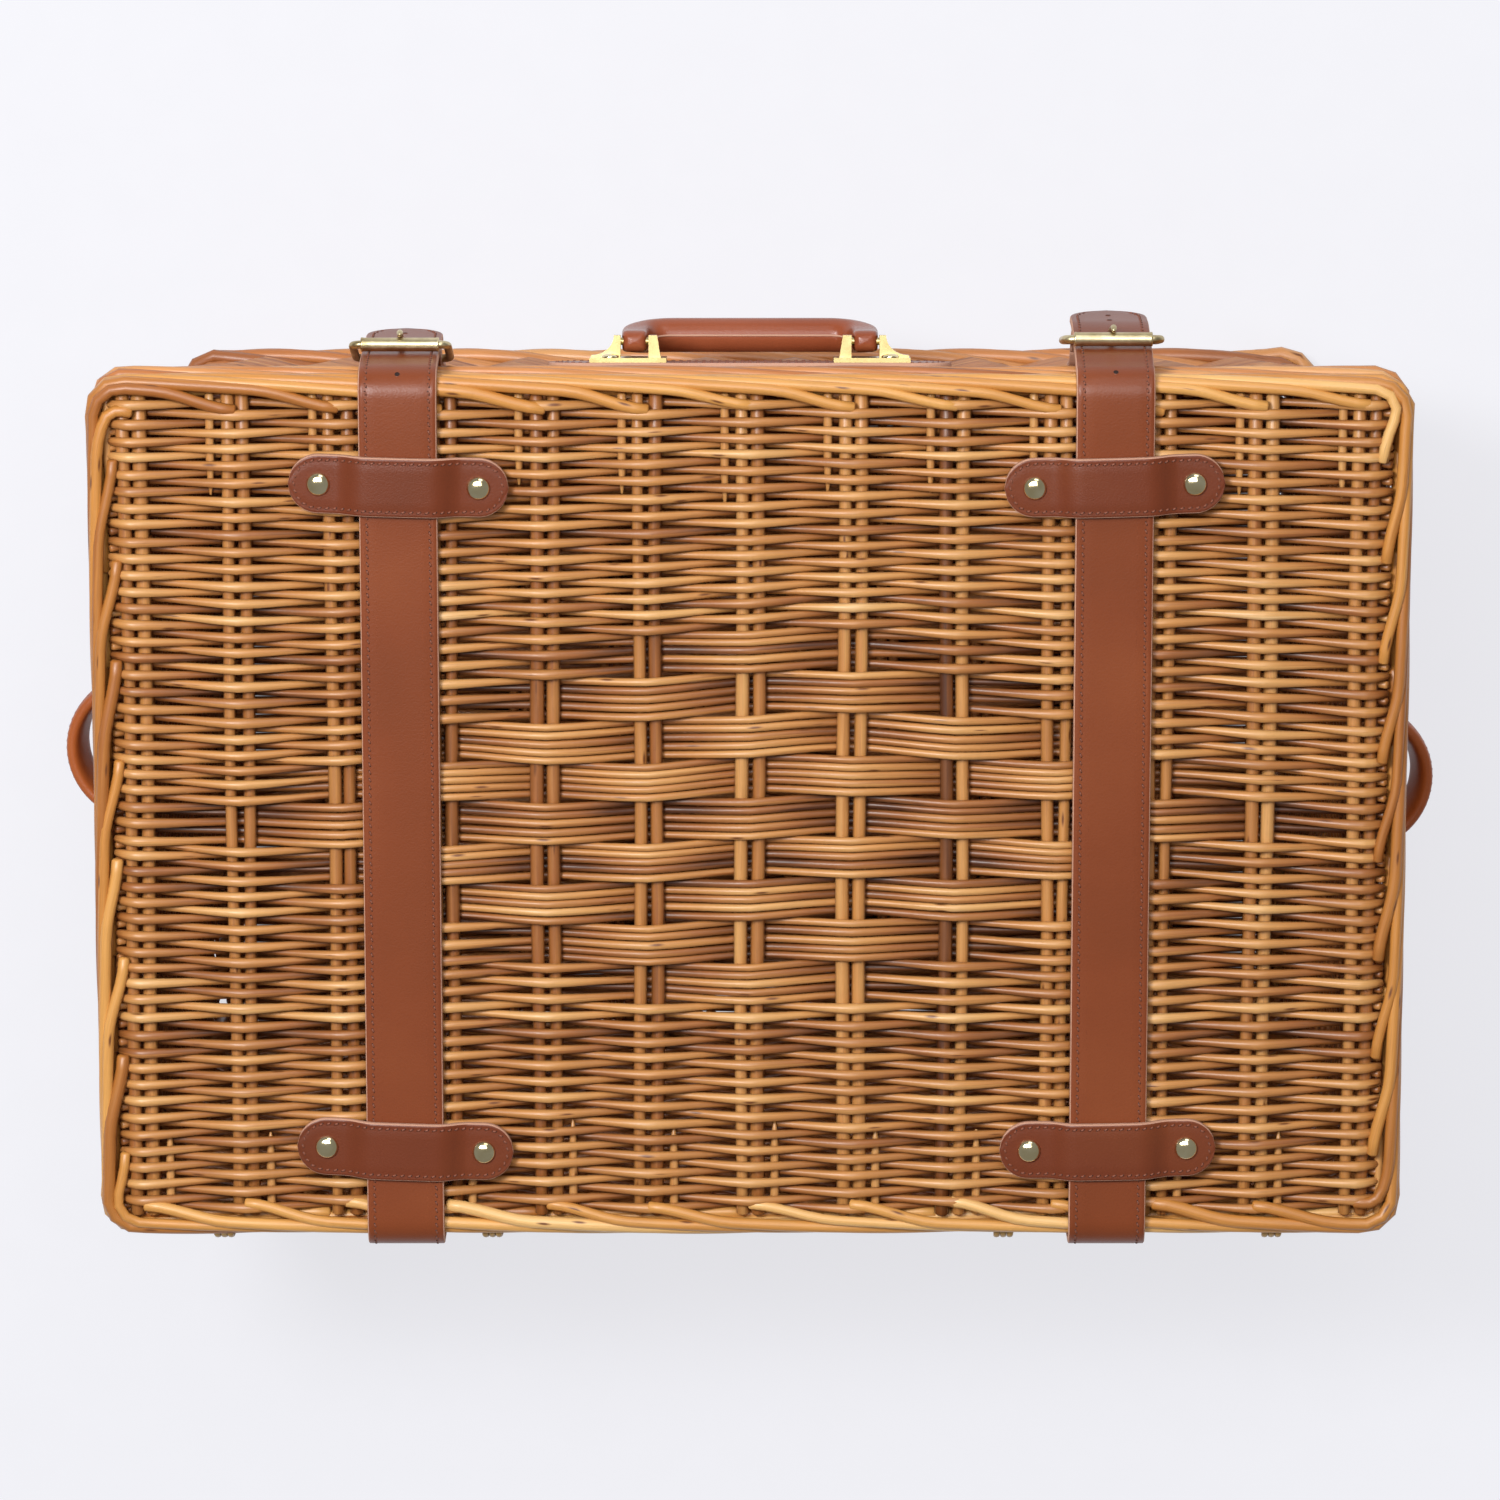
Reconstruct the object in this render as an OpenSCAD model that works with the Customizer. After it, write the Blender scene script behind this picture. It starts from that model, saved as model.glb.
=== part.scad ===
// Lidded willow picnic basket with leather straps, brass roller buckles and a folding front handle.
// It stands on its base: the front wall faces -Y, the lid hinges along the top of the back wall,
// and left and right are as seen from the front. Millimetres, +Z up, origin under the centre.

/* [Basket] */
// Length of the lid and the top border, side to side
lid_l = 508; // [440:1:620]
// Depth of the lid and the top border, front to back
lid_d = 342; // [290:1:420]
// Length of the foot border
base_l = 466; // [380:1:500]
// Depth of the foot border
base_d = 300; // [230:1:340]
// Height from the floor to the top of the lid border
basket_h = 205; // [171:1:260]
// Thickness of a woven wall
wall_t = 9; // [6:0.5:11]
// Thickness of the rolled foot border
foot_roll_d = 20; // [16:0.5:24]
// How much the foot border is flattened underneath
foot_flat = 0.8; // [0.4:0.1:1.5]
// Thickness of the rolled border round the top of the walls
rim_roll_d = 17; // [14:0.5:20]
// Diameter of the leaning corner posts
post_d = 16; // [13:0.5:16.5]
// How far the posts stand in from the corners
post_in = 2.5; // [1:0.5:4]
// Thickness of the woven base
base_panel_t = 9; // [5:0.5:12]
// Outer radius of the rounded corners
corner_r = 22; // [20:1:34]

/* [Lid] */
// Thickness of the rolled border of the lid
lid_roll_d = 17; // [14:0.5:20]
// Thickness of the woven lid panel
lid_panel_t = 10; // [6:0.5:12]
// How far the panel lies below the top of its border
panel_drop = 2; // [1:0.5:3]
// Gap between the closed lid and the top border
lid_gap = 2; // [1.5:0.5:4]
// Radius of a cane hinge ring
tie_r = 9.5; // [8:0.5:10.5]
// Thickness of the hinge cane
tie_d = 2.4; // [2:0.2:3]
// Distance of the inner hinge rings from the middle
tie_x_inner = 100; // [70:1:110]
// Distance of the outer hinge rings from the middle
tie_x_outer = 205; // [185:1:215]

/* [Straps] */
// Width of a strap
strap_w = 30; // [24:1:34]
// Thickness of the strap leather
strap_t = 2.6; // [2:0.2:3.2]
// Distance of the left strap from the middle
strap_x_left = 139; // [125:1:160]
// Distance of the right strap from the middle
strap_x_right = 134; // [125:1:160]
// Length of strap on the back wall
back_strap_len = 62; // [45:1:70]
// Length of the strap end beyond the buckle's fixed bar
tip_len = 25; // [15:1:30]
// Length of a keeper
keeper_l = 84; // [78:1:92]
// Width of a keeper
keeper_w = 23; // [18:1:28]
// Distance between the two rivets of a keeper
keeper_pitch = 61; // [56:1:66]
// Distance of the front keepers from the front edge of the lid
keeper_in_front = 43; // [34:1:60]
// Distance of the back keepers from the hinge edge of the lid
keeper_in_back = 37; // [32:1:60]

/* [Buckles] */
// Thickness of the buckle wire
wire_d = 3.2; // [2.6:0.1:3.6]
// Distance between the fixed bar and the roller bar
frame_len = 28; // [24:0.5:32]
// Free width between strap and buckle sides
frame_clear = 1.6; // [1:0.1:2.5]
// Outer diameter of the roller
roller_d = 5.6; // [5.4:0.1:6.4]
// Length of the roller
roller_l = 30; // [24:0.5:31]
// Thickness of the prong
prong_d = 2.6; // [2.2:0.1:3]
// Height of the fixed bar above the floor
heel_z = 154; // [145:1:156]
// Distance of the left fixed bar from the wall
heel_out_left = 12; // [6:0.5:14]
// Distance of the right fixed bar from the wall
heel_out_right = 5; // [5:0.5:14]
// Lean of the left buckle away from upright
buckle_lean_left = 10; // [8:0.5:24]
// Lean of the right buckle away from upright
buckle_lean_right = 20; // [18:0.5:26]
// Length of the buckle's own short strap on the wall
short_strap_len = 34; // [28:1:42]

/* [Front handle] */
// Height of the handle's pins above the floor
handle_z = 118; // [105:1:122]
// Length of the handle over its arms
handle_l = 100.4; // [92:0.2:112]
// Width of an arm
arm_w = 10; // [8:0.5:12]
// Thickness of an arm
arm_t = 8.7; // [7.5:0.1:9.5]
// Drop of the grip below the pins
handle_drop = 40; // [36:1:44]
// Thickness of the grip
grip_d = 12.5; // [11:0.5:14]
// Bend radius of the grip's corners
grip_bend_r = 14; // [10:0.5:16]
// Distance of the pins from the wall
pin_out = 10.5; // [10:0.1:12]
// Diameter of a handle pin
pin_d = 3; // [2.5:0.1:3.6]
// Length of the leather patch under the handle
patch_l = 158; // [150:1:180]
// Width of that patch
patch_w = 30; // [28:1:34]
// Width of a bracket's foot along the wall
bracket_l = 30; // [28:0.5:34]
// Height of a bracket's posts above its plate
post_h = 8.6; // [8.2:0.1:9]

/* [End handles] */
// Outer radius of an end handle's arch
arch_r = 30; // [26:0.5:36]
// Thickness of the padded arch
arch_t = 6; // [5:0.5:7]
// Width of an end handle
end_handle_w = 25; // [20:1:30]
// Height of the end handles above the floor
end_handle_z = 100; // [80:1:110]
// Shift of the left end handle towards the hinge
end_shift_left = 8; // [-15:1:15]
// Shift of the right end handle towards the front
end_shift_right = 4; // [-15:1:15]

/* [Rivets and fits] */
// Diameter of a rivet cap
cap_d = 9; // [7:0.5:10]
// Diameter of a rivet shank
shank_d = 3.2; // [2.6:0.1:4]
// Gap round a rivet shank or a bar that is held
hole_clear = 0.2; // [0.1:0.05:0.3]
// Gap between pieces that move past each other
move_clear = 0.5; // [0.4:0.05:0.7]

/* [Hidden] */

$fn = 64;
willow = "#d8a561";
willow_dark = "#b9803f";
leather = "#8a4b2b";
brass = "#d9c48a";
cane = "#c9a867";

foot_cx = (base_l - foot_roll_d) / 2;
foot_cy = (base_d - foot_roll_d) / 2;
foot_cz = foot_roll_d / 2 - foot_flat;
lid_cx = (lid_l - lid_roll_d) / 2;
lid_cy = (lid_d - lid_roll_d) / 2;
lid_cz = basket_h - lid_roll_d / 2;
rim_cx = (lid_l - rim_roll_d) / 2;
rim_cy = (lid_d - rim_roll_d) / 2;
rim_cz = basket_h - lid_roll_d - lid_gap - rim_roll_d / 2;
rise = rim_cz - foot_cz;
lean_front = atan((rim_cy - foot_cy) / rise);
lean_end = atan((rim_cx - foot_cx) / rise);
hinge_y = lid_d / 2;
hinge_z = basket_h - lid_roll_d - lid_gap / 2;
panel_top = basket_h - panel_drop;
tie_xs = [-tie_x_outer, -tie_x_inner, tie_x_inner, tie_x_outer];
hole_d = shank_d + 2 * hole_clear;
cap_h = 2.6;
washer_t = 1;
patch_t = 2.5;
plate_t = 1.8;
leather_t = 2.5;
through_l = 60;

// Distance up the slope of the front or back wall to a height above the floor
function slope_at(z) = (z - foot_cz) / cos(lean_front);
// Outer face of the front wall (as a positive distance from the middle) at a height
function face_at(z) = foot_cy + (z - foot_cz) * tan(lean_front) + wall_t / 2 / cos(lean_front);

// Places its children on a wall's outer face: x along the wall, y up the slope, z outwards
module on_wall(turn, reach, lean, along, up) {
    rotate([0, 0, turn]) translate([0, -reach, foot_cz]) rotate([90 + lean, 0, 0])
        translate([along, up, wall_t / 2]) children();
}
module on_front(along, up) { on_wall(0, foot_cy, lean_front, along, up) children(); }
module on_back(along, up) { on_wall(180, foot_cy, lean_front, -along, up) children(); }
module on_end(side, along, up) { on_wall(90 * side, foot_cx, lean_end, side * along, up) children(); }

// Extrudes an outline drawn in the Y-Z plane along X, centred on x
module across(x, width) {
    translate([x, 0, 0]) rotate([90, 0, 90]) linear_extrude(width, center = true) children();
}
// A strap's side outline: straight runs of one thickness with round turns
module band(points, t) {
    for (i = [0 : len(points) - 2]) {
        run = points[i + 1] - points[i];
        translate(points[i]) rotate(atan2(run.y, run.x)) translate([0, -t / 2]) square([norm(run), t]);
    }
    for (i = [1 : 1 : len(points) - 2]) translate(points[i]) circle(d = t);
}
// A flat strip of leather with round ends, lying on z = 0
module tab(length, width, t) {
    linear_extrude(t) union() {
        square([length - width, width], center = true);
        for (s = [-1, 1]) translate([s * (length - width) / 2, 0]) circle(d = width);
    }
}
// Bend radius of a rolled border's centre line, which is never tighter than the roll itself
function bend_of(d) = max(corner_r - d / 2, d / 2 + 1);
// One side of a rolled border with the corner at its right-hand end, seen from outside
module border_side(turn, half_x, half_y, z, d) {
    bend = bend_of(d);
    turned = abs(turn) == 90;
    half = turned ? half_y : half_x;
    reach = turned ? half_x : half_y;
    rotate([0, 0, turn]) translate([0, -reach, z]) {
        rotate([0, 90, 0]) cylinder(h = 2 * (half - bend), d = d, center = true);
        translate([half - bend, bend, 0]) rotate([0, 0, -90])
            rotate_extrude(angle = 90) translate([bend, 0]) circle(d = d);
    }
}
// A flat woven panel whose edge runs along the middle of its border
module panel(half_x, half_y, d, t) {
    bend = bend_of(d);
    linear_extrude(t) {
        square([2 * (half_x - bend), 2 * half_y], center = true);
        square([2 * half_x, 2 * (half_y - bend)], center = true);
        for (sx = [-1, 1], sy = [-1, 1]) translate([sx * (half_x - bend), sy * (half_y - bend)]) circle(bend);
    }
}
// Leaning post at one corner, or the space that it takes
module post(sx, sy) {
    run = [sx * (rim_cx - foot_cx), sy * (rim_cy - foot_cy), rise];
    translate([sx * (foot_cx - post_in), sy * (foot_cy - post_in), foot_cz])
        rotate([0, acos(run.z / norm(run)), atan2(run.y, run.x)])
        translate([0, 0, foot_roll_d / 4]) cylinder(h = norm(run) - foot_roll_d / 4 - rim_roll_d / 4, d = post_d);
}
module posts() { for (sx = [-1, 1], sy = [-1, 1]) post(sx, sy); }

// The four cane rings of the hinge, or the channels that they pass through
module rings(d) {
    for (x = tie_xs) translate([x, hinge_y, hinge_z]) rotate([0, 90, 0])
        rotate_extrude() translate([tie_r, 0]) circle(d = d, $fn = 32);
}
module ring_channels() { rings(tie_d + 2 * move_clear); }

// A rivet: domed cap above z = 0, shank through the given depth, washer below it
module rivet(depth) {
    dome_r = (cap_d * cap_d / 4 + cap_h * cap_h) / (2 * cap_h);
    intersection() {
        translate([0, 0, cap_h - dome_r]) sphere(dome_r);
        cylinder(h = cap_h, d = cap_d + 1);
    }
    translate([0, 0, -depth]) cylinder(h = depth, d = shank_d);
    translate([0, 0, -depth - washer_t]) cylinder(h = washer_t, d = cap_d);
}
module rivet_hole() { cylinder(h = through_l, d = hole_d, center = true); }

/* Walls, base and borders */
module base_space() { translate([0, 0, foot_cz - base_panel_t / 2]) panel(foot_cx, foot_cy, foot_roll_d, base_panel_t); }
module base_panel() { color(willow) base_space(); }
wall_start = base_panel_t / 2 + 1.5;
module wall_space(turn, reach_low, reach_high, half_low, half_high) {
    slope = norm([reach_high - reach_low, rise]);
    lean = atan((reach_high - reach_low) / rise);
    top = slope - rim_roll_d / 4 - 2.5;
    half_start = half_low + (half_high - half_low) * wall_start / slope;
    half_top = half_low + (half_high - half_low) * top / slope;
    on_wall(turn, reach_low, lean, 0, 0) translate([0, 0, -wall_t]) linear_extrude(wall_t)
        polygon([
            [-half_start + post_in, wall_start], [half_start - post_in, wall_start],
            [half_top - post_in, top], [-half_top + post_in, top]
        ]);
}
module long_wall_space(side) { wall_space(side < 0 ? 0 : 180, foot_cy, rim_cy, foot_cx, rim_cx); }
module end_wall_space(side) { wall_space(90 * side, foot_cx, rim_cx, foot_cy, rim_cy); }
module wall_spaces() {
    for (side = [-1, 1]) {
        long_wall_space(side);
        end_wall_space(side);
    }
}
module corner_posts() { color(willow_dark) posts(); }
module wall_front() {
    color(willow) difference() {
        long_wall_space(-1);
        posts();
        short_strap_holes();
        bracket_holes();
    }
}
module wall_back() {
    color(willow) difference() {
        long_wall_space(1);
        posts();
        back_strap_holes();
    }
}
module wall_end(side) {
    color(willow) difference() {
        end_wall_space(side);
        posts();
        end_handle_holes();
    }
}
module foot(turn) {
    color(willow_dark) difference() {
        border_side(turn, foot_cx, foot_cy, foot_cz, foot_roll_d);
        translate([-base_l, -base_l, -foot_roll_d]) cube([2 * base_l, 2 * base_l, foot_roll_d]);
        base_space();
        wall_spaces();
        posts();
    }
}
module rim(turn) {
    color(willow_dark) difference() {
        border_side(turn, rim_cx, rim_cy, rim_cz, rim_roll_d);
        wall_spaces();
        posts();
        if (turn == 180) ring_channels();
    }
}
module hinge_rings() { color(cane) rings(tie_d); }

/* Lid */
module lid_space() { translate([0, 0, panel_top - lid_panel_t]) panel(lid_cx, lid_cy, lid_roll_d, lid_panel_t); }
module lid_panel() {
    color(willow) difference() {
        lid_space();
        ring_channels();
        keeper_holes();
    }
}
module lid_border(turn) {
    color(willow_dark) difference() {
        border_side(turn, lid_cx, lid_cy, lid_cz, lid_roll_d);
        lid_space();
        if (turn == 180) ring_channels();
    }
}

/* Keepers and their rivets */
keeper_y_front = -lid_d / 2 + keeper_in_front;
keeper_y_back = lid_d / 2 - keeper_in_back;
keeper_xs = [-strap_x_left, strap_x_right];
keeper_ys = [keeper_y_front, keeper_y_back];
module keeper_holes() {
    for (x = keeper_xs, y = keeper_ys, s = [-1, 1])
        translate([x + s * keeper_pitch / 2, y, panel_top]) rivet_hole();
}
module keeper(x, y) {
    low = leather_t / 2;
    high = panel_drop + strap_t + move_clear + leather_t / 2;
    inner = strap_w / 2 + leather_t / 2 + move_clear;
    outline = [[-keeper_l / 2, low], [-inner - 3, low], [-inner, high], [inner, high], [inner + 3, low], [keeper_l / 2, low]];
    color(leather) difference() {
        translate([x, y, panel_top]) intersection() {
            rotate([90, 0, 0]) linear_extrude(keeper_w, center = true) band(outline, leather_t);
            tab(keeper_l, keeper_w, high + leather_t);
        }
        keeper_holes();
    }
}
module keeper_rivets() {
    color(brass) for (x = keeper_xs, y = keeper_ys, s = [-1, 1])
        translate([x + s * keeper_pitch / 2, y, panel_top + leather_t]) rivet(leather_t + lid_panel_t);
}

/* Straps */
lay_gap = 0.15;
strap_r = lid_roll_d / 2 + strap_t / 2 + lay_gap;
strap_start = lid_cy - 3;
function arc(cy, cz, r, from, to) = [for (i = [0 : 6]) let (a = from + (to - from) * i / 6) [cy + r * cos(a), cz + r * sin(a)]];
module strap(x) {
    color(leather) across(x, strap_w)
        band(concat([[strap_start, lid_cz + strap_r]], arc(-lid_cy, lid_cz, strap_r, 90, 180)), strap_t);
}
// Middle of the fixed bar and of the roller, as distances in the Y-Z plane
function heel_at(out) = [-face_at(heel_z) - out, heel_z];
function roller_at(out, lean) = heel_at(out) + frame_len * [-sin(lean), cos(lean)];
loop_in_r = wire_d / 2 + hole_clear;
loop_out_r = loop_in_r + leather_t;
slot_w = 6.4;
module strap_end(x, out, lean) {
    top = [-lid_cy - strap_r, lid_cz];
    behind = roller_at(out, lean) + [roller_d / 2 + move_clear + strap_t / 2, 0];
    over = heel_at(out) - [loop_out_r + move_clear + strap_t / 2, 0];
    past_rim = behind.y < rim_cz ? [[-lid_cy - strap_r, rim_cz]] : [];
    tip = over - [0, tip_len];
    hole_z = (behind.y + over.y) / 2;
    color(leather) difference() {
        across(x, strap_w) band(concat([top], past_rim, [behind, over, tip]), strap_t);
        translate([x, over.x, hole_z]) cube([prong_d + 2 * move_clear, 40, frame_len * 0.6], center = true);
    }
}
module hinge_strap(x) {
    start = [strap_start + move_clear, lid_cz + strap_r + move_clear];
    end = [hinge_y + strap_t / 2 + move_clear, rim_cz - rim_roll_d / 2];
    color(leather) across(x, strap_w)
        band(concat([start], arc(lid_cy, lid_cz, strap_r + move_clear, 90, 0), [end]), strap_t);
}
back_low_z = rim_cz - rim_roll_d / 2 - back_strap_len;
module back_strap(x) {
    top = [hinge_y + strap_t / 2 + move_clear, rim_cz - rim_roll_d / 2];
    off = strap_t / 2 / cos(lean_front) + 0.1;
    knee = [face_at(top.y - 14) + off, top.y - 14];
    low = [face_at(back_low_z) + off, back_low_z];
    color(leather) difference() {
        across(x, strap_w) band([top, top - [0, 2], knee, low], strap_t);
        back_strap_holes();
    }
}
back_rivet_zs = [back_low_z + 10, back_low_z + 28];
module back_strap_holes() {
    for (x = keeper_xs, z = back_rivet_zs) on_back(x, slope_at(z)) rivet_hole();
}
module back_strap_rivets() {
    color(brass) for (x = keeper_xs, z = back_rivet_zs)
        on_back(x, slope_at(z)) translate([0, 0, strap_t + 0.1]) rivet(strap_t + 0.1 + wall_t);
}
short_low_z = heel_z - 8 - short_strap_len;
short_rivet_zs = [short_low_z + 8, short_low_z + 22];
module short_strap_holes() {
    for (x = keeper_xs, z = short_rivet_zs) on_front(x, slope_at(z)) rivet_hole();
}
module short_strap(x, out) {
    heel = heel_at(out);
    off = leather_t / 2 / cos(lean_front) + 0.1;
    low = [-face_at(short_low_z) - off, short_low_z];
    knee_z = short_low_z + 28;
    knee = [-face_at(knee_z) - off, knee_z];
    foot = heel - [0, (loop_in_r + loop_out_r) / 2];
    color(leather) difference() {
        union() {
            across(x, strap_w) difference() {
                union() {
                    band([low, knee, foot], leather_t);
                    translate(heel) circle(loop_out_r);
                }
                translate(heel) circle(loop_in_r);
            }
        }
        translate([x, heel.x, heel.y]) rotate([0, 90, 0]) cylinder(h = slot_w, r = loop_out_r + 1.2, center = true);
        short_strap_holes();
    }
}
module short_strap_rivets() {
    color(brass) for (x = keeper_xs, z = short_rivet_zs)
        on_front(x, slope_at(z)) translate([0, 0, leather_t + 0.2]) rivet(leather_t + 0.2 + wall_t);
}

/* Buckles, drawn with the fixed bar along X through the origin and the roller above it */
frame_cx = max(strap_w / 2 + frame_clear, roller_l / 2 + move_clear) + wire_d / 2;
module buckle_place(x, out, lean) {
    heel = heel_at(out);
    translate([x, heel.x, heel.y]) rotate([lean, 0, 0]) children();
}
module rod(length, d) { rotate([0, 90, 0]) cylinder(h = length, d = d, center = true); }
module buckle_frame(x, out, lean) {
    color(brass) buckle_place(x, out, lean) {
        for (z = [0, frame_len]) translate([0, 0, z]) rod(2 * frame_cx, wire_d);
        for (s = [-1, 1]) {
            translate([s * frame_cx, 0, 0]) cylinder(h = frame_len, d = wire_d);
            for (z = [0, frame_len]) translate([s * frame_cx, 0, z]) sphere(d = wire_d);
        }
    }
}
module buckle_roller(x, out, lean) {
    color(brass) buckle_place(x, out, lean) translate([0, 0, frame_len]) difference() {
        rod(roller_l, roller_d);
        rod(roller_l + 2, wire_d + 2 * hole_clear);
    }
}
module buckle_prong(x, out, lean) {
    reach = frame_len + 2;
    tilt = asin((roller_d / 2 + prong_d / 2 + 0.3) / frame_len);
    color(brass) buckle_place(x, out, lean) difference() {
        union() {
            rod(slot_w - 2, wire_d + 2 * hole_clear + 3);
            rotate([tilt, 0, 0]) cylinder(h = reach, d = prong_d);
            rotate([tilt, 0, 0]) translate([0, 0, reach]) sphere(d = prong_d);
        }
        rod(slot_w, wire_d + 2 * hole_clear);
    }
}

/* Folding front handle, drawn on the front wall round its pins */
handle_s = slope_at(handle_z);
arm_cx = handle_l / 2 - arm_w / 2;
ear_x = handle_l / 2 + move_clear;
inner_x = handle_l / 2 - arm_w - move_clear;
inner_w = 4.7;
bracket_cx = ear_x + 12 - bracket_l / 2;
bracket_w = 26;
ear_w = 9;
module on_pins() { on_front(0, handle_s) translate([0, 0, pin_out]) children(); }
module bracket_holes() {
    for (s = [-1, 1], v = [-1, 1]) on_front(s * (bracket_cx + 7), handle_s + v * 9) rivet_hole();
}
module handle_patch() {
    color(leather) difference() {
        on_front(0, handle_s) tab(patch_l, patch_w, patch_t);
        bracket_holes();
    }
}
module handle_bracket(side) {
    top = patch_t + plate_t + post_h;
    flare = 11.5;
    color(brass) difference() {
        on_front(0, handle_s) {
            translate([side * bracket_cx, 0, patch_t + plate_t / 2]) cube([bracket_l, bracket_w, plate_t], center = true);
            rotate([90, 0, 0]) linear_extrude(ear_w, center = true) scale([side, 1]) {
                difference() {
                    translate([ear_x, patch_t + plate_t]) square([flare, post_h]);
                    translate([ear_x + flare, top]) scale([1, (post_h - 0.8) / (flare - 2.6)]) circle(r = flare - 2.6);
                }
                polygon([
                    [inner_x - inner_w, patch_t + plate_t], [inner_x, patch_t + plate_t],
                    [inner_x, top], [inner_x - inner_w * 0.7, top]
                ]);
            }
        }
        on_pins() translate([side * arm_cx, 0, 0]) rod(40, pin_d);
        bracket_holes();
    }
}
module bracket_rivets() {
    color(brass) for (s = [-1, 1], v = [-1, 1])
        on_front(s * (bracket_cx + 7), handle_s + v * 9) translate([0, 0, patch_t + plate_t])
        rivet(patch_t + plate_t + wall_t);
}
module handle_pin(side) {
    length = ear_x + 2.6 - inner_x + inner_w * 0.7;
    color(brass) on_pins() translate([side * (ear_x + 2.6 - length / 2), 0, 0]) rod(length, pin_d);
}
grip_run = arm_cx - grip_bend_r;
module handle_arm(side) {
    color(leather) on_pins() translate([side * arm_cx, 0, 0]) difference() {
        union() {
            rod(arm_w, arm_t);
            translate([-arm_w / 2, -handle_drop + grip_bend_r, -arm_t / 2]) cube([arm_w, handle_drop - grip_bend_r, arm_t]);
        }
        rod(arm_w + 2, pin_d + 2 * hole_clear);
    }
}
module handle_grip() {
    color(leather) on_pins() translate([0, -handle_drop, 0]) {
        rod(2 * grip_run, grip_d);
        for (s = [0, 1]) mirror([s, 0, 0]) translate([grip_run, grip_bend_r, 0])
            rotate([0, 0, -90]) rotate_extrude(angle = 90) translate([grip_bend_r, 0]) circle(d = grip_d, $fn = 48);
    }
}

/* End handles */
end_s = (end_handle_z - foot_cz) / cos(lean_end);
foot_pitch = arch_r + 10;
arch_rise = 2.3;
end_foot_l = 2 * (foot_pitch + 9);
end_sides = [[-1, end_shift_left], [1, -end_shift_right]];
module end_handle_holes() {
    for (e = end_sides, s = [-1, 1]) on_end(e[0], e[1] + s * foot_pitch, end_s) rivet_hole();
}
module end_handle(side, shift) {
    color(leather) difference() {
        on_end(side, shift, end_s) rotate([90, 0, 0]) linear_extrude(end_handle_w, center = true) difference() {
            union() {
                translate([0, arch_rise]) circle(arch_r);
                translate([-end_foot_l / 2, 0]) square([end_foot_l, leather_t]);
            }
            translate([0, arch_rise]) circle(arch_r - arch_t);
            translate([-end_foot_l, -end_foot_l]) square([2 * end_foot_l, end_foot_l]);
        }
        end_handle_holes();
    }
}
module end_handle_rivets() {
    color(brass) for (e = end_sides, s = [-1, 1])
        on_end(e[0], e[1] + s * foot_pitch, end_s) translate([0, 0, leather_t]) rivet(leather_t + wall_t);
}

base_panel();
foot(0);  // foot_front
foot(180);  // foot_back
foot(-90);  // foot_left
foot(90);  // foot_right
wall_front();
wall_back();
wall_end(-1);  // wall_left
wall_end(1);  // wall_right
corner_posts();
rim(0);  // rim_front
rim(180);  // rim_back
rim(-90);  // rim_left
rim(90);  // rim_right
hinge_rings();
lid_panel();
lid_border(0);  // lid_border_front
lid_border(180);  // lid_border_back
lid_border(-90);  // lid_border_left
lid_border(90);  // lid_border_right
strap(-strap_x_left);  // strap_left
strap(strap_x_right);  // strap_right
strap_end(-strap_x_left, heel_out_left, buckle_lean_left);  // strap_end_left
strap_end(strap_x_right, heel_out_right, buckle_lean_right);  // strap_end_right
hinge_strap(-strap_x_left);  // hinge_strap_left
hinge_strap(strap_x_right);  // hinge_strap_right
back_strap(-strap_x_left);  // back_strap_left
back_strap(strap_x_right);  // back_strap_right
keeper(-strap_x_left, keeper_y_front);  // keeper_front_left
keeper(strap_x_right, keeper_y_front);  // keeper_front_right
keeper(-strap_x_left, keeper_y_back);  // keeper_back_left
keeper(strap_x_right, keeper_y_back);  // keeper_back_right
keeper_rivets();
short_strap(-strap_x_left, heel_out_left);  // short_strap_left
short_strap(strap_x_right, heel_out_right);  // short_strap_right
short_strap_rivets();
back_strap_rivets();
buckle_frame(-strap_x_left, heel_out_left, buckle_lean_left);  // buckle_frame_left
buckle_frame(strap_x_right, heel_out_right, buckle_lean_right);  // buckle_frame_right
buckle_roller(-strap_x_left, heel_out_left, buckle_lean_left);  // buckle_roller_left
buckle_roller(strap_x_right, heel_out_right, buckle_lean_right);  // buckle_roller_right
buckle_prong(-strap_x_left, heel_out_left, buckle_lean_left);  // buckle_prong_left
buckle_prong(strap_x_right, heel_out_right, buckle_lean_right);  // buckle_prong_right
handle_patch();
handle_bracket(-1);  // handle_bracket_left
handle_bracket(1);  // handle_bracket_right
bracket_rivets();
handle_pin(-1);  // handle_pin_left
handle_pin(1);  // handle_pin_right
handle_arm(-1);  // handle_arm_left
handle_arm(1);  // handle_arm_right
handle_grip();
end_handle(-1, end_shift_left);  // end_handle_left
end_handle(1, -end_shift_right);  // end_handle_right
end_handle_rivets();
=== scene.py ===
import math
import bpy
import numpy as np
from mathutils import Matrix, Vector


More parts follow.
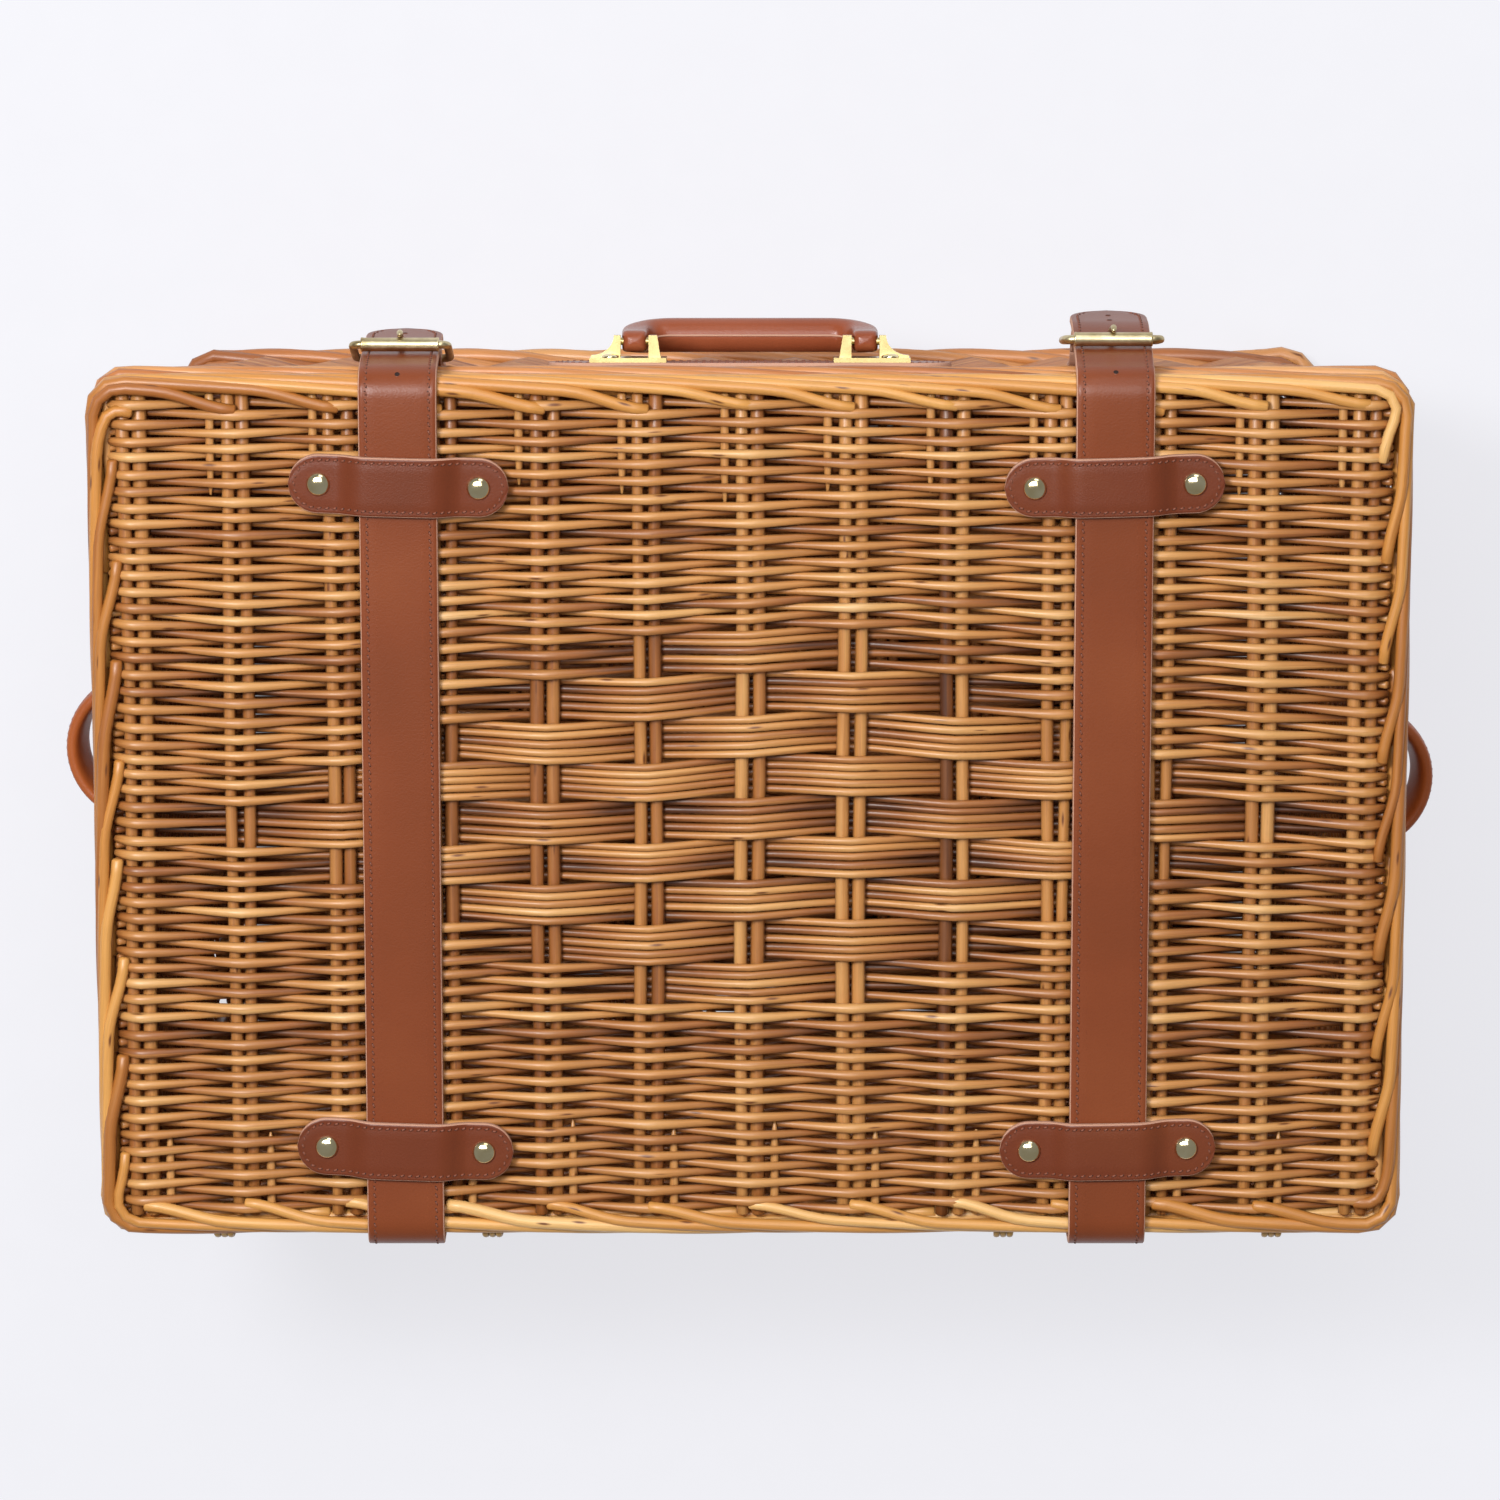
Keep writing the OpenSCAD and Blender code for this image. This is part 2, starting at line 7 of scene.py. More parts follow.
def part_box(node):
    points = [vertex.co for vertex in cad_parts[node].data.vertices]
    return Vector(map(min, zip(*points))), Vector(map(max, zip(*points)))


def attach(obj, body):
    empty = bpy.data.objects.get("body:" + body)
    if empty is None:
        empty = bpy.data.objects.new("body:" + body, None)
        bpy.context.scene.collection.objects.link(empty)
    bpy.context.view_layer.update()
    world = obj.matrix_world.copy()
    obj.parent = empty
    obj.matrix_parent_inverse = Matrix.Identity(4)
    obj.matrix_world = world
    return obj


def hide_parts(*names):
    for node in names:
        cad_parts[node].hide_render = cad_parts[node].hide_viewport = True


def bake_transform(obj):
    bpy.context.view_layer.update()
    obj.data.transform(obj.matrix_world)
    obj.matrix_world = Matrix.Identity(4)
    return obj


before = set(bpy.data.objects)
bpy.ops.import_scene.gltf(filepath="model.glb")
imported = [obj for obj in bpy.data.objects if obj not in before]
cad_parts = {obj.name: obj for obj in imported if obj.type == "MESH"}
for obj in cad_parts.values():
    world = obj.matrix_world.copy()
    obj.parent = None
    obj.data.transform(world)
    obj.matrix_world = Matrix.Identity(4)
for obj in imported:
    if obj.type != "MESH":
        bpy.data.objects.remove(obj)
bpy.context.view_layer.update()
mm = 0.001
rng = np.random.default_rng(41)


def linear(hexColour):
    parts = [int(hexColour[i:i + 2], 16) / 255 for i in (1, 3, 5)]
    return [c / 12.92 if c <= 0.04045 else ((c + 0.055) / 1.055) ** 2.4 for c in parts] + [1.0]


def addNode(material, kind, settings=None, inputs=None, links=None):
    tree = material.node_tree
    node = tree.nodes.new("ShaderNode" + kind)
    for key, value in (settings or {}).items():
        setattr(node, key, value)
    for key, value in (inputs or {}).items():
        node.inputs[key].default_value = value
    for key, (source, output) in (links or {}).items():
        tree.links.new(source.outputs[output], node.inputs[key])
    return node


def setRamp(node, stops):
    ramp = node.color_ramp
    while len(ramp.elements) < len(stops):
        ramp.elements.new(0.5)
    for element, (place, colour) in zip(ramp.elements, stops):
        element.position = place
        element.color = linear(colour) if isinstance(colour, str) else (colour, colour, colour, 1)


# Colour ramp fed by one output of another node
def rampFrom(material, source, output, stops):
    ramp = addNode(material, "ValToRGB", links={"Fac": (source, output)})
    setRamp(ramp, stops)
    return ramp


def newMaterial(name, **shader):
    material = bpy.data.materials.new(name)
    material.use_nodes = True
    bsdf = material.node_tree.nodes["Principled BSDF"]
    for key, value in shader.items():
        bsdf.inputs[key.replace("_", " ")].default_value = value
    return material, bsdf


def joinNodes(material, source, output, target, socket):
    material.node_tree.links.new(source.outputs[output], target.inputs[socket])


def addBump(material, bsdf, strength, distance, source, output):
    bump = addNode(material, "Bump", inputs={"Strength": strength, "Distance": distance},
                   links={"Height": (source, output)})
    joinNodes(material, bump, "Normal", bsdf, "Normal")


def addNoise(material, scale, detail, vector=None, **more):
    links = {"Vector": vector} if vector else None
    return addNode(material, "TexNoise", inputs={"Scale": scale, "Detail": detail, **more}, links=links)


# Dull material mottled between two colours by fine noise
def plainMaterial(name, rough, scale, detail, dark, light):
    material, bsdf = newMaterial(name, Roughness=rough)
    ramp = rampFrom(material, addNoise(material, scale, detail), "Fac", [(0.3, dark), (0.7, light)])
    joinNodes(material, ramp, "Color", bsdf, "Base Color")
    return material, bsdf


def unit(v):
    return v / np.maximum(np.linalg.norm(v, axis=-1, keepdims=True), 1e-12)


def ease(t):
    t = np.clip(t, 0, 1)
    return t * t * (3 - 2 * t)


# Distance along a line at each of its points
def arcLengths(points):
    return np.concatenate([[0], np.cumsum(np.linalg.norm(np.diff(points, axis=0), axis=1))])


# Value of each column at distance q along a line
def pick(values, q, s):
    return np.stack([np.interp(q, s, values[:, i]) for i in range(values.shape[1])], 1)


def circle(sides):
    angle = np.arange(sides) / sides * 2 * math.pi
    return np.cos(angle), np.sin(angle)


# Rounded square of one ring: high powers are squarer
def roundedSquare(sides, power, halfA, halfB):
    c, s = circle(sides)
    return (np.sign(c) * np.abs(c) ** (2 / power) * halfA, np.sign(s) * np.abs(s) ** (2 / power) * halfB)


# Points of a circular arc in a plane, from one angle to another in degrees
def arcPoints(centre, r, start, stop, count):
    return [(centre[0] + r * math.cos(q), centre[1] + r * math.sin(q))
            for q in np.radians(np.linspace(start, stop, count))]


def gridUv(along, across):
    return np.stack(np.broadcast_arrays(np.asarray(along)[:, None], np.asarray(across)[None]), -1)


# Rings of points round a line, from two direction sets
def tubeRings(line, radius, sides, up, side):
    c, s = circle(sides)
    radius = np.broadcast_to(np.asarray(radius, float), len(line))
    ring = c[None, :, None] * up[:, None] + s[None, :, None] * side[:, None]
    return line[:, None] + radius[:, None, None] * ring


# Gathers tubes, strips and lathed caps, then turns them into one mesh
def newShape():
    return {"co": [], "quads": [], "quadUv": [], "quadMat": [], "caps": [], "toneAndShade": [], "count": 0}


def addGrid(shape, co, uv, toneAndShade=0.5, mat=0, capEnds=True):
    rings, sides = co.shape[:2]
    base = shape["count"]
    index = base + np.arange(rings * sides).reshape(rings, sides)
    wrap = np.concatenate([index, index[:, :1]], 1)
    quads = np.stack([wrap[:-1, :-1], wrap[:-1, 1:], wrap[1:, 1:], wrap[1:, :-1]], -1).reshape(-1, 4)
    corner = np.stack([uv[:-1, :-1], uv[:-1, 1:], uv[1:, 1:], uv[1:, :-1]], 2).reshape(-1, 4, 2)
    mats = np.broadcast_to(mat, (rings - 1, wrap.shape[1] - 1)).reshape(-1).copy()
    shape["co"].append(co.reshape(-1, 3))
    shape["toneAndShade"].append(np.full(rings * sides, toneAndShade) if np.isscalar(toneAndShade) else np.asarray(toneAndShade).reshape(-1))
    shape["quads"].append(quads)
    shape["quadUv"].append(corner)
    shape["quadMat"].append(mats)
    if capEnds:
        shape["caps"].append((index[0][::-1], int(mats[0])))
        shape["caps"].append((index[-1], int(mats[-1])))
    shape["count"] += rings * sides


# A rod along a line, with rounded ends. Each rod is shifted in the texture so that no two look the same.
def addRod(shape, points, normals, radius, sides=8, toneAndShade=0.5, flat=1.0, uvShift=None):
    points = np.asarray(points, float)
    n = len(points)
    radius = np.broadcast_to(np.asarray(radius, float), n).copy()
    normals = np.broadcast_to(np.asarray(normals, float), (n, 3))
    d0, d1 = unit(points[0] - points[1]), unit(points[-1] - points[-2])
    capOut, capR = 0.3, 0.66
    points = np.concatenate([[points[0] + d0 * radius[0] * capOut], points,
                             [points[-1] + d1 * radius[-1] * capOut]])
    normals = np.concatenate([normals[:1], normals, normals[-1:]])
    radius = np.concatenate([[radius[0] * capR], radius, [radius[-1] * capR]])
    tangent = unit(np.gradient(points, axis=0))
    up = unit(normals - np.sum(normals * tangent, 1, keepdims=True) * tangent)
    co = tubeRings(points, radius, sides, up * flat, np.cross(tangent, up))
    along = arcLengths(points)
    shift = rng.random(2) * (9, 1) if uvShift is None else uvShift
    girth = 2 * math.pi * float(radius.mean())
    toneAndShade = np.broadcast_to(toneAndShade, n)
    toneAndShade = np.repeat(np.concatenate([toneAndShade[:1], toneAndShade, toneAndShade[-1:]]), sides)
    addGrid(shape, co, gridUv(along + shift[0], np.linspace(0, girth, sides + 1) + shift[1]), toneAndShade)


def makeMesh(shape, name, materials, body=None, replaced=()):
    co = np.concatenate(shape["co"])
    quads = np.concatenate(shape["quads"])
    quadUv = np.concatenate(shape["quadUv"])
    quadMat = np.concatenate(shape["quadMat"])
    caps = shape["caps"]
    loops = np.concatenate([quads.reshape(-1)] + [c[0] for c in caps])
    sizes = np.concatenate([np.full(len(quads), 4), np.array([len(c[0]) for c in caps], int)])
    starts = np.concatenate([[0], np.cumsum(sizes)[:-1]])
    firstUv = quadUv.reshape(-1, 2)
    uv = np.zeros((len(loops), 2))
    uv[:len(firstUv)] = firstUv
    vertexUv = np.zeros((len(co), 2))
    vertexUv[quads.reshape(-1)] = firstUv
    uv[len(firstUv):] = vertexUv[loops[len(firstUv):]]
    mesh = bpy.data.meshes.new(name)
    mesh.vertices.add(len(co))
    mesh.vertices.foreach_set("co", co.astype(np.float32).ravel())
    mesh.loops.add(len(loops))
    mesh.loops.foreach_set("vertex_index", loops.astype(np.int32))
    mesh.polygons.add(len(sizes))
    mesh.polygons.foreach_set("loop_start", starts.astype(np.int32))
    mesh.polygons.foreach_set("material_index",
                              np.concatenate([quadMat, [c[1] for c in caps]]).astype(np.int32))
    mesh.polygons.foreach_set("use_smooth", np.ones(len(sizes), bool))
    layer = mesh.uv_layers.new(name="along")
    layer.data.foreach_set("uv", uv.astype(np.float32).ravel())
    toneAndShade = mesh.attributes.new("toneAndShade", "FLOAT", "POINT")
    toneAndShade.data.foreach_set("value", np.concatenate(shape["toneAndShade"]).astype(np.float32))
    mesh.update(calc_edges=True)
    mesh.validate()
    piece = bpy.data.objects.new(name, mesh)
    bpy.context.scene.collection.objects.link(piece)
    for material in materials:
        mesh.materials.append(material)
    if body:
        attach(piece, body)
    if replaced:
        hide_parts(*replaced)
    return piece


lidRollR, footRollR = 8.5 * mm, 10 * mm
endLow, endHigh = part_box("lid_border_right")
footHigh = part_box("foot_right")[1]
rimLow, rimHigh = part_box("rim_right")
lidHalf = (endHigh.x, -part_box("lid_border_front")[0].y)
footHalf = (footHigh.x, -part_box("foot_front")[0].y)
lidMid = (endLow.z + endHigh.z) / 2
rimMid = (rimLow.z + rimHigh.z) / 2
footMid = footHigh.z - footRollR
lidTop = endHigh.z

camera = {"at": (0, -0.607, 2.836), "looks": (0, -0.025, 0.205), "lens": 168.4}
eye = bpy.data.objects.new("camera", bpy.data.cameras.new("camera"))
bpy.context.scene.collection.objects.link(eye)
eye.data.lens = camera["lens"]
eye.data.sensor_width = 36
backward = unit(np.array(camera["at"]) - np.array(camera["looks"]))
imageRight = np.array((-1.0, 0, 0))
imageUp = np.cross(backward, imageRight)
axes = [[imageRight[i], imageUp[i], backward[i], camera["at"][i]] for i in range(3)]
eye.matrix_world = Matrix(axes + [[0, 0, 0, 1]])
eye.data.clip_end = 50
bpy.context.scene.camera = eye
bpy.context.scene.view_settings.view_transform = "Standard"

studio = {
    "floorHalf": 9.0, "floor": "#666669", "floorDark": "#646467", "glow": 0.795, "darkInset": 40 * mm,
    "litInset": 12 * mm, "drop": 0.4 * mm, "world": "#eef1f7", "worldStrength": 0.3,
    "aim": (0, 0, 0.15), "lamps": [
        # name, place, size, watts
        ("key", (0.8, -0.8, 2.0), 0.5, 38),
        ("overhead", (0.1, -1.45, 3.1), 1.9, 50),
        ("front", (-0.6, -2.6, 1.5), 1.2, 12),
    ],
}
# seamless paper, no shine
floorMaterial, floorShader = plainMaterial("paperBackdropMatte", 0.9, 900.0, 2.0, studio["floorDark"],
                                           studio["floor"])
floorShader.inputs["Emission Color"].default_value = linear("#f4f4f9")   # lit from below, like a light table
# no glow, and so dark, where the basket stands: painted shade under the basket, which also keeps the glow
# from shining up through its weave
floorPlace = addNode(floorMaterial, "TexCoord")
floorAxes = addNode(floorMaterial, "SeparateXYZ", links={"Vector": (floorPlace, "Object")})
lit = []
for axis, reach in (("X", footHalf[0]), ("Y", footHalf[1])):
    away = addNode(floorMaterial, "Math", {"operation": "ABSOLUTE"}, links={0: (floorAxes, axis)})
    lit.append(addNode(floorMaterial, "MapRange", {"interpolation_type": "SMOOTHSTEP"},
                       {"From Min": reach - studio["darkInset"], "From Max": reach - studio["litInset"],
                        "To Min": 0.0, "To Max": studio["glow"]}, {"Value": (away, "Value")}))
glow = addNode(floorMaterial, "Math", {"operation": "MAXIMUM"},
               links={0: (lit[0], "Result"), 1: (lit[1], "Result")})
joinNodes(floorMaterial, glow, "Value", floorShader, "Emission Strength")
half = studio["floorHalf"]
floorMesh = bpy.data.meshes.new("floor")
corners = [(-half, -half, 0), (half, -half, 0), (half, half, 0), (-half, half, 0)]
floorMesh.from_pydata(corners, [], [(0, 1, 2, 3)])
floor = bpy.data.objects.new("floor", floorMesh)
floor.location.z = -studio["drop"]
floorMesh.materials.append(floorMaterial)
bpy.context.scene.collection.objects.link(floor)
world = bpy.context.scene.world or bpy.data.worlds.new("studio")
bpy.context.scene.world = world
world.use_nodes = True
background = world.node_tree.nodes["Background"]
background.inputs["Color"].default_value = linear(studio["world"])
background.inputs["Strength"].default_value = studio["worldStrength"]
for name, place, size, watts in studio["lamps"]:
    lamp = bpy.data.objects.new(name, bpy.data.lights.new(name, "AREA"))
    lamp.data.energy = watts
    lamp.data.size = size
    lamp.location = place
    lamp.rotation_euler = (Vector(studio["aim"]) - Vector(place)).to_track_quat("-Z", "Y").to_euler()
    bpy.context.scene.collection.objects.link(lamp)
print("studio ready")


# Peeled willow, steamed and varnished: satin streaks along each rod, honey to orange-tan from rod to rod
def willowMaterial(name, stops, rough):
    material, bsdf = newMaterial(name, Roughness=rough, IOR=1.5, Coat_Weight=0.18, Coat_Roughness=0.28)
    # this per-point attribute is each rod's random tone, lowered as painted shade behind the stakes and along
    # the end borders
    toneAndShade = addNode(material, "Attribute", {"attribute_name": "toneAndShade"})
    uv = addNode(material, "UVMap", {"uv_map": "along"})

    def stretched(scale):
        return addNode(material, "Mapping", inputs={"Scale": scale}, links={"Vector": (uv, "UV")}), "Vector"
    patch = addNoise(material, 1.0, 3.0, stretched((16, 90, 1)))   # cloudy patches 60 mm long
    # fine grain along the rod
    streak = addNoise(material, 1.0, 4.0, stretched((55, 2200, 1)), Roughness=0.6)
    moved = addNode(material, "Math", {"operation": "MULTIPLY_ADD"}, {1: 0.55},
                    {0: (patch, "Fac"), 2: (toneAndShade, "Fac")})
    shifted = addNode(material, "Math", {"operation": "SUBTRACT"}, {1: 0.28}, {0: (moved, "Value")})
    ramp = rampFrom(material, shifted, "Value", stops)
    streakRamp = rampFrom(material, streak, "Fac", [(0.32, 0.66), (0.62, 1.0)])
    streaked = addNode(material, "Mix", {"data_type": "RGBA", "blend_type": "MULTIPLY"}, {"Factor": 0.55},
                       {"A": (ramp, "Color"), "B": (streakRamp, "Color")})
    # knots where side shoots were trimmed, one every 60 mm or so
    knot = addNode(material, "TexVoronoi", {"voronoi_dimensions": "2D"}, {"Scale": 1.0},
                   {"Vector": stretched((17, 80, 1))})
    knotRamp = rampFrom(material, knot, "Distance", [(0.02, 0.0), (0.06, 1.0)])
    knotColour = addNode(material, "Mix", {"data_type": "RGBA"}, {"A": linear("#6d3d18")},
                         {"Factor": (knotRamp, "Color"), "B": (streaked, "Result")})
    joinNodes(material, knotColour, "Result", bsdf, "Base Color")
    addBump(material, bsdf, 0.22, 0.0004, streak, "Fac")
    return material


# the darkest stops colour the rod parts that are painted with shade where they pass behind the stakes
weaveStops = [(0.0, "#4f280f"), (0.24, "#94592a"), (0.5, "#bb8044"), (0.75, "#cf9c5e"), (1.0, "#e6c08c")]
willowWeave = willowMaterial("peeledWillowSatin", weaveStops, 0.42)
borderStops = [(0.0, "#9c5c23"), (0.35, "#c08039"), (0.7, "#d39a51"), (1.0, "#e2b371")]
willowBorder = willowMaterial("peeledWillowBorderSatin", borderStops, 0.44)
wallStops = [(0.0, "#7c421b"), (0.35, "#ad6832"), (0.7, "#c38349"), (1.0, "#d6a268")]
willowWall = willowMaterial("peeledWillowWallSatin", wallStops, 0.45)
caneStops = [(0.0, "#85602c"), (0.5, "#a98243"), (1.0, "#c8a263")]
splitCane = willowMaterial("splitCaneDull", caneStops, 0.5)


# Waxed veg-tanned cowhide: tight pore grain and a soft even sheen
def leatherMaterial(name, dark, mid, light, rough, grain):
    material, bsdf = newMaterial(name, Roughness=rough, IOR=1.46, Coat_Weight=0.04, Coat_Roughness=0.3,
                                 Specular_IOR_Level=0.36)
    place = addNode(material, "TexCoord"), "Object"
    cloud = addNoise(material, 14.0, 5.0, place)
    ramp = rampFrom(material, cloud, "Fac", [(0.28, dark), (0.5, mid), (0.74, light)])
    pore = addNode(material, "TexVoronoi", inputs={"Scale": grain}, links={"Vector": place})
    fine = addNoise(material, grain * 2.2, 3.0, place)
    poreRamp = rampFrom(material, pore, "Distance", [(0.05, 0.86), (0.45, 1.0)])
    colour = addNode(material, "Mix", {"data_type": "RGBA", "blend_type": "MULTIPLY"}, {"Factor": 0.6},
                     {"A": (ramp, "Color"), "B": (poreRamp, "Color")})
    joinNodes(material, colour, "Result", bsdf, "Base Color")
    height = addNode(material, "Math", {"operation": "ADD"}, links={0: (pore, "Distance"), 1: (fine, "Fac")})
    addBump(material, bsdf, 0.16, 0.0003, height, "Value")
    return material


strapLeather = leatherMaterial("waxedCowhideStrap", "#6f3518", "#77391b", "#7f4020", 0.36, 1300.0)
keeperLeather = leatherMaterial("waxedCowhideKeeper", "#602c14", "#682f17", "#70371b", 0.38, 1300.0)
gripLeather = leatherMaterial("glossyCowhideGrip", "#7e3d23", "#874429", "#914d31", 0.27, 1100.0)
archLeather = leatherMaterial("paddedCowhideArch", "#93481f", "#a15427", "#ae6233", 0.42, 1200.0)

# the raw edge's pale fibres, and a punched hole's inside, painted near-black as shade
rawEdge, _ = plainMaterial("cutCowhideEdgeRaw", 0.8, 1400.0, 3.0, "#9c6a50", "#d0a68f")
punchedHole, _ = plainMaterial("punchedHolePaintedShade", 0.9, 2500.0, 2.0, "#120805", "#2a130b")

# Waxed polyester thread, twisted: painted shade at both ends of each stitch, where it goes into its hole,
# with a dull shine on its ribs
stitch = {"long": 2.0 * mm, "pitch": 3.0 * mm, "r": 0.42 * mm, "slant": 24, "sunk": 0.25 * mm}
thread, threadShader = newMaterial("waxedThreadTwisted", Roughness=0.6)
threadUv = addNode(thread, "UVMap", {"uv_map": "along"}), "UV"
threadAxes = addNode(thread, "SeparateXYZ", links={"Vector": threadUv})
threadLength = addNode(thread, "MapRange", inputs={"From Min": 0.0, "From Max": stitch["long"]},
                       links={"Value": (threadAxes, "X")})
threadRamp = rampFrom(thread, threadLength, "Result",
                      [(0.12, "#240d07"), (0.4, "#7e4630"), (0.6, "#7e4630"), (0.88, "#240d07")])
threadWave = addNode(thread, "TexWave", {"bands_direction": "DIAGONAL"}, {"Scale": 900.0},
                     {"Vector": threadUv})
addBump(thread, threadShader, 0.3, 0.0002, threadWave, "Fac")
joinNodes(thread, threadRamp, "Color", threadShader, "Base Color")


# Brass: rolled and tumbled, so colour drifts and fine scratches break up the shine
def brassMaterial(name, dark, light, low, high):
    material, bsdf = newMaterial(name, Metallic=1.0)
    place = addNode(material, "TexCoord"), "Object"
    ramp = rampFrom(material, addNoise(material, 120.0, 5.0, place), "Fac", [(0.3, dark), (0.65, light)])
    scratch = addNoise(material, 800.0, 4.0, place, Distortion=1.5)
    rough = addNode(material, "MapRange",
                    inputs={"From Min": 0.3, "From Max": 0.7, "To Min": low, "To Max": high},
                    links={"Value": (scratch, "Fac")})
    joinNodes(material, ramp, "Color", bsdf, "Base Color")
    joinNodes(material, rough, "Result", bsdf, "Roughness")
    return material


polishedBrass = brassMaterial("polishedBrass", "#b3a06c", "#c4b27e", 0.22, 0.28)
capBrass = brassMaterial("polishedBrassCap", "#d9c592", "#efe1b6", 0.1, 0.15)
antiqueBrass = brassMaterial("tumbledAntiqueBrass", "#a8966c", "#d6c8a0", 0.28, 0.4)
print("materials ready")


# Point and outward normal along one side of a rounded rectangle, from the middle of a corner to the next
def alongSide(k, d, hx, hy, r):
    d, hx, hy, r = np.broadcast_arrays(np.asarray(d, float), hx, hy, r)
    halfLength = hx if k % 2 == 0 else hy
    reach = hy if k % 2 == 0 else hx
    straight = halfLength - r
    turn = np.clip((np.abs(d) - straight) / r, 0, None)
    inArc = turn > 0
    sign = np.sign(d)
    a = np.where(inArc, sign * (straight + r * np.sin(turn)), d)
    o = np.where(inArc, reach - r + r * np.cos(turn), reach)
    na, no = sign * np.sin(turn), np.cos(turn)
    along = [(1, 0), (0, 1), (-1, 0), (0, -1)][k]
    out = [(0, -1), (1, 0), (0, 1), (-1, 0)][k]
    x, y = a * along[0] + o * out[0], a * along[1] + o * out[1]
    return x, y, na * along[0] + no * out[0], na * along[1] + no * out[1]


def sideLength(k, hx, hy, r):
    return (hx if k % 2 == 0 else hy) - r + r * math.pi / 4


# The same, with one distance running round the whole loop (anticlockwise from above)
def aroundLoop(s, hx, hy, r):
    s = np.asarray(s, float)
    lengths = [2 * sideLength(k, hx, hy, r) for k in range(4)]
    edges = np.concatenate([[0], np.cumsum(lengths)])
    s = np.mod(s, edges[-1])
    point, normal = np.zeros(s.shape + (2,)), np.zeros(s.shape + (2,))
    for k in range(4):
        here = (s >= edges[k]) & (s <= edges[k + 1])
        x, y, nx, ny = alongSide(k, s[here] - edges[k] - lengths[k] / 2, hx, hy, r)
        point[here] = np.stack([x, y], -1)
        normal[here] = np.stack([nx, ny], -1)
    return point, normal


# How one rod of weft runs between stakes, as shares of its own radius and of the row spacing
weft = {
    "longWave": 70 * mm, "shortWave": 24 * mm, "thinnest": 0.6, "crowded": 0.12, "straight": 0.68,
    "slim": 0.93, "toneSpread": 0.11, "leadSteps": 4,
}


# Rows of weft over upright stakes. place() turns (along, up, out) into points and normals. sunk sets how much
# darker a rod is coloured, as painted shade, where it passes behind a stake.
def weaveRows(shape, stakes, rowSpan, rowCount, over, swing, place, rodR, perSpan=8, endOver=9 * mm,
              wander=0.13, sides=7, toneMid=0.53, swell=0.36, sunk=0.38):
    stakes = np.asarray(stakes, float)
    last = len(stakes) - 1
    steps = np.linspace(0, 1, perSpan, endpoint=False)
    slot = np.concatenate([np.arange(last).repeat(perSpan) + np.tile(steps, last), [last]])
    lead = np.linspace(-1, 0, weft["leadSteps"])[:-1]
    slot = np.concatenate([lead, slot, last - lead[::-1]])
    inside = np.clip(slot, 0, last)
    beyond = np.where(slot < 0, slot, np.where(slot > last, slot - last, 0))
    along = np.interp(inside, np.arange(len(stakes)), stakes) + beyond * endOver
    phase = rng.random((rowCount, 3)) * 2 * math.pi
    waves = (np.sin(along[None] / weft["longWave"] + phase[:, :1])
             + 0.7 * np.sin(along[None] / weft["shortWave"] + phase[:, 1:2]))
    thick = 1 + wander * 0.6 * waves + wander * (rng.random((rowCount, 1)) - 0.5) * 2.4
    thick = np.maximum(thick, weft["thinnest"])
    centre = (np.cumsum(thick, 0) - thick / 2) / np.sum(thick, 0)
    up = rowSpan[0] + (rowSpan[1] - rowSpan[0]) * centre
    j = np.clip(np.floor(inside).astype(int), 0, last - 1)
    t = inside - j
    # stiff rods run nearly straight and kink at each stake
    mix = weft["straight"] * t + (1 - weft["straight"]) / 2 * (1 - np.cos(math.pi * t))
    past = np.clip(np.maximum(-slot, slot - last), 0, 1)
    for i in range(rowCount):
        sign = np.array([over(i, k) for k in range(len(stakes))], float)
        alone = np.array([weft["crowded"] if 1 in (over(i - 1, k), over(i + 1, k)) else 1
                          for k in range(len(stakes))], float)
        out = swing * (sign[j] * (1 - mix) + sign[j + 1] * mix) * np.cos(past * math.pi / 2)
        showing = np.clip(out / swing, -1, 1)
        room = alone[j] * (1 - mix) + alone[j + 1] * mix
        radius = rodR * (weft["slim"] + swell * np.clip(showing, 0, 1) * room + 0.35 * (thick[i] - 1))
        points, normals = place(along, up[i], out)
        # painted shade: where a rod passes behind a stake its colour value is lowered, standing in for the
        # shade deep in the weave
        toneAndShade = toneMid + rng.normal(0, weft["toneSpread"]) - sunk * (1 - showing) / 2
        addRod(shape, points, normals, radius, sides=sides, toneAndShade=np.clip(toneAndShade, 0, 1))


def addStakes(shape, stakes, span, place, r, apart, toneAndShade=0.5, count=14):
    for s in stakes:
        for side in (-1, 1):
            up = np.linspace(span[0], span[1], count)
            wobble = 0.5 * mm * np.sin(up / (45 * mm) + rng.random() * 6)
            points, normals = place(s + side * apart + wobble, up, np.zeros(count) + side * 0.2 * mm)
            radius = r * (1 + 0.06 * np.sin(up / (60 * mm) + rng.random() * 6) + rng.normal(0, 0.04))
            addRod(shape, points, normals, radius, toneAndShade=np.clip(toneAndShade + rng.normal(0, 0.12), 0, 1))


lidWeave = {
    "pitch": 39.3 * mm, "pairs": 13, "apart": 3.2 * mm, "stakeR": 2.6 * mm,
    "rows": 98, "frontRows": 28, "bands": [0, 1, 2, 3, 4, 3, 2, 1, 0], "bandRows": 5,
    "rodR": 1.62 * mm, "swing": 4.7 * mm, "mid": 8.2 * mm, "front": -160.2 * mm, "back": 160.6 * mm,
    "stakeEnd": 162 * mm, "linerOff": 9.6 * mm, "linerFront": 118 * mm, "linerBack": 122 * mm,
    "linerR": np.array([1.75] * 5 + [1.6, 1.2, 0.5]) * mm,
}


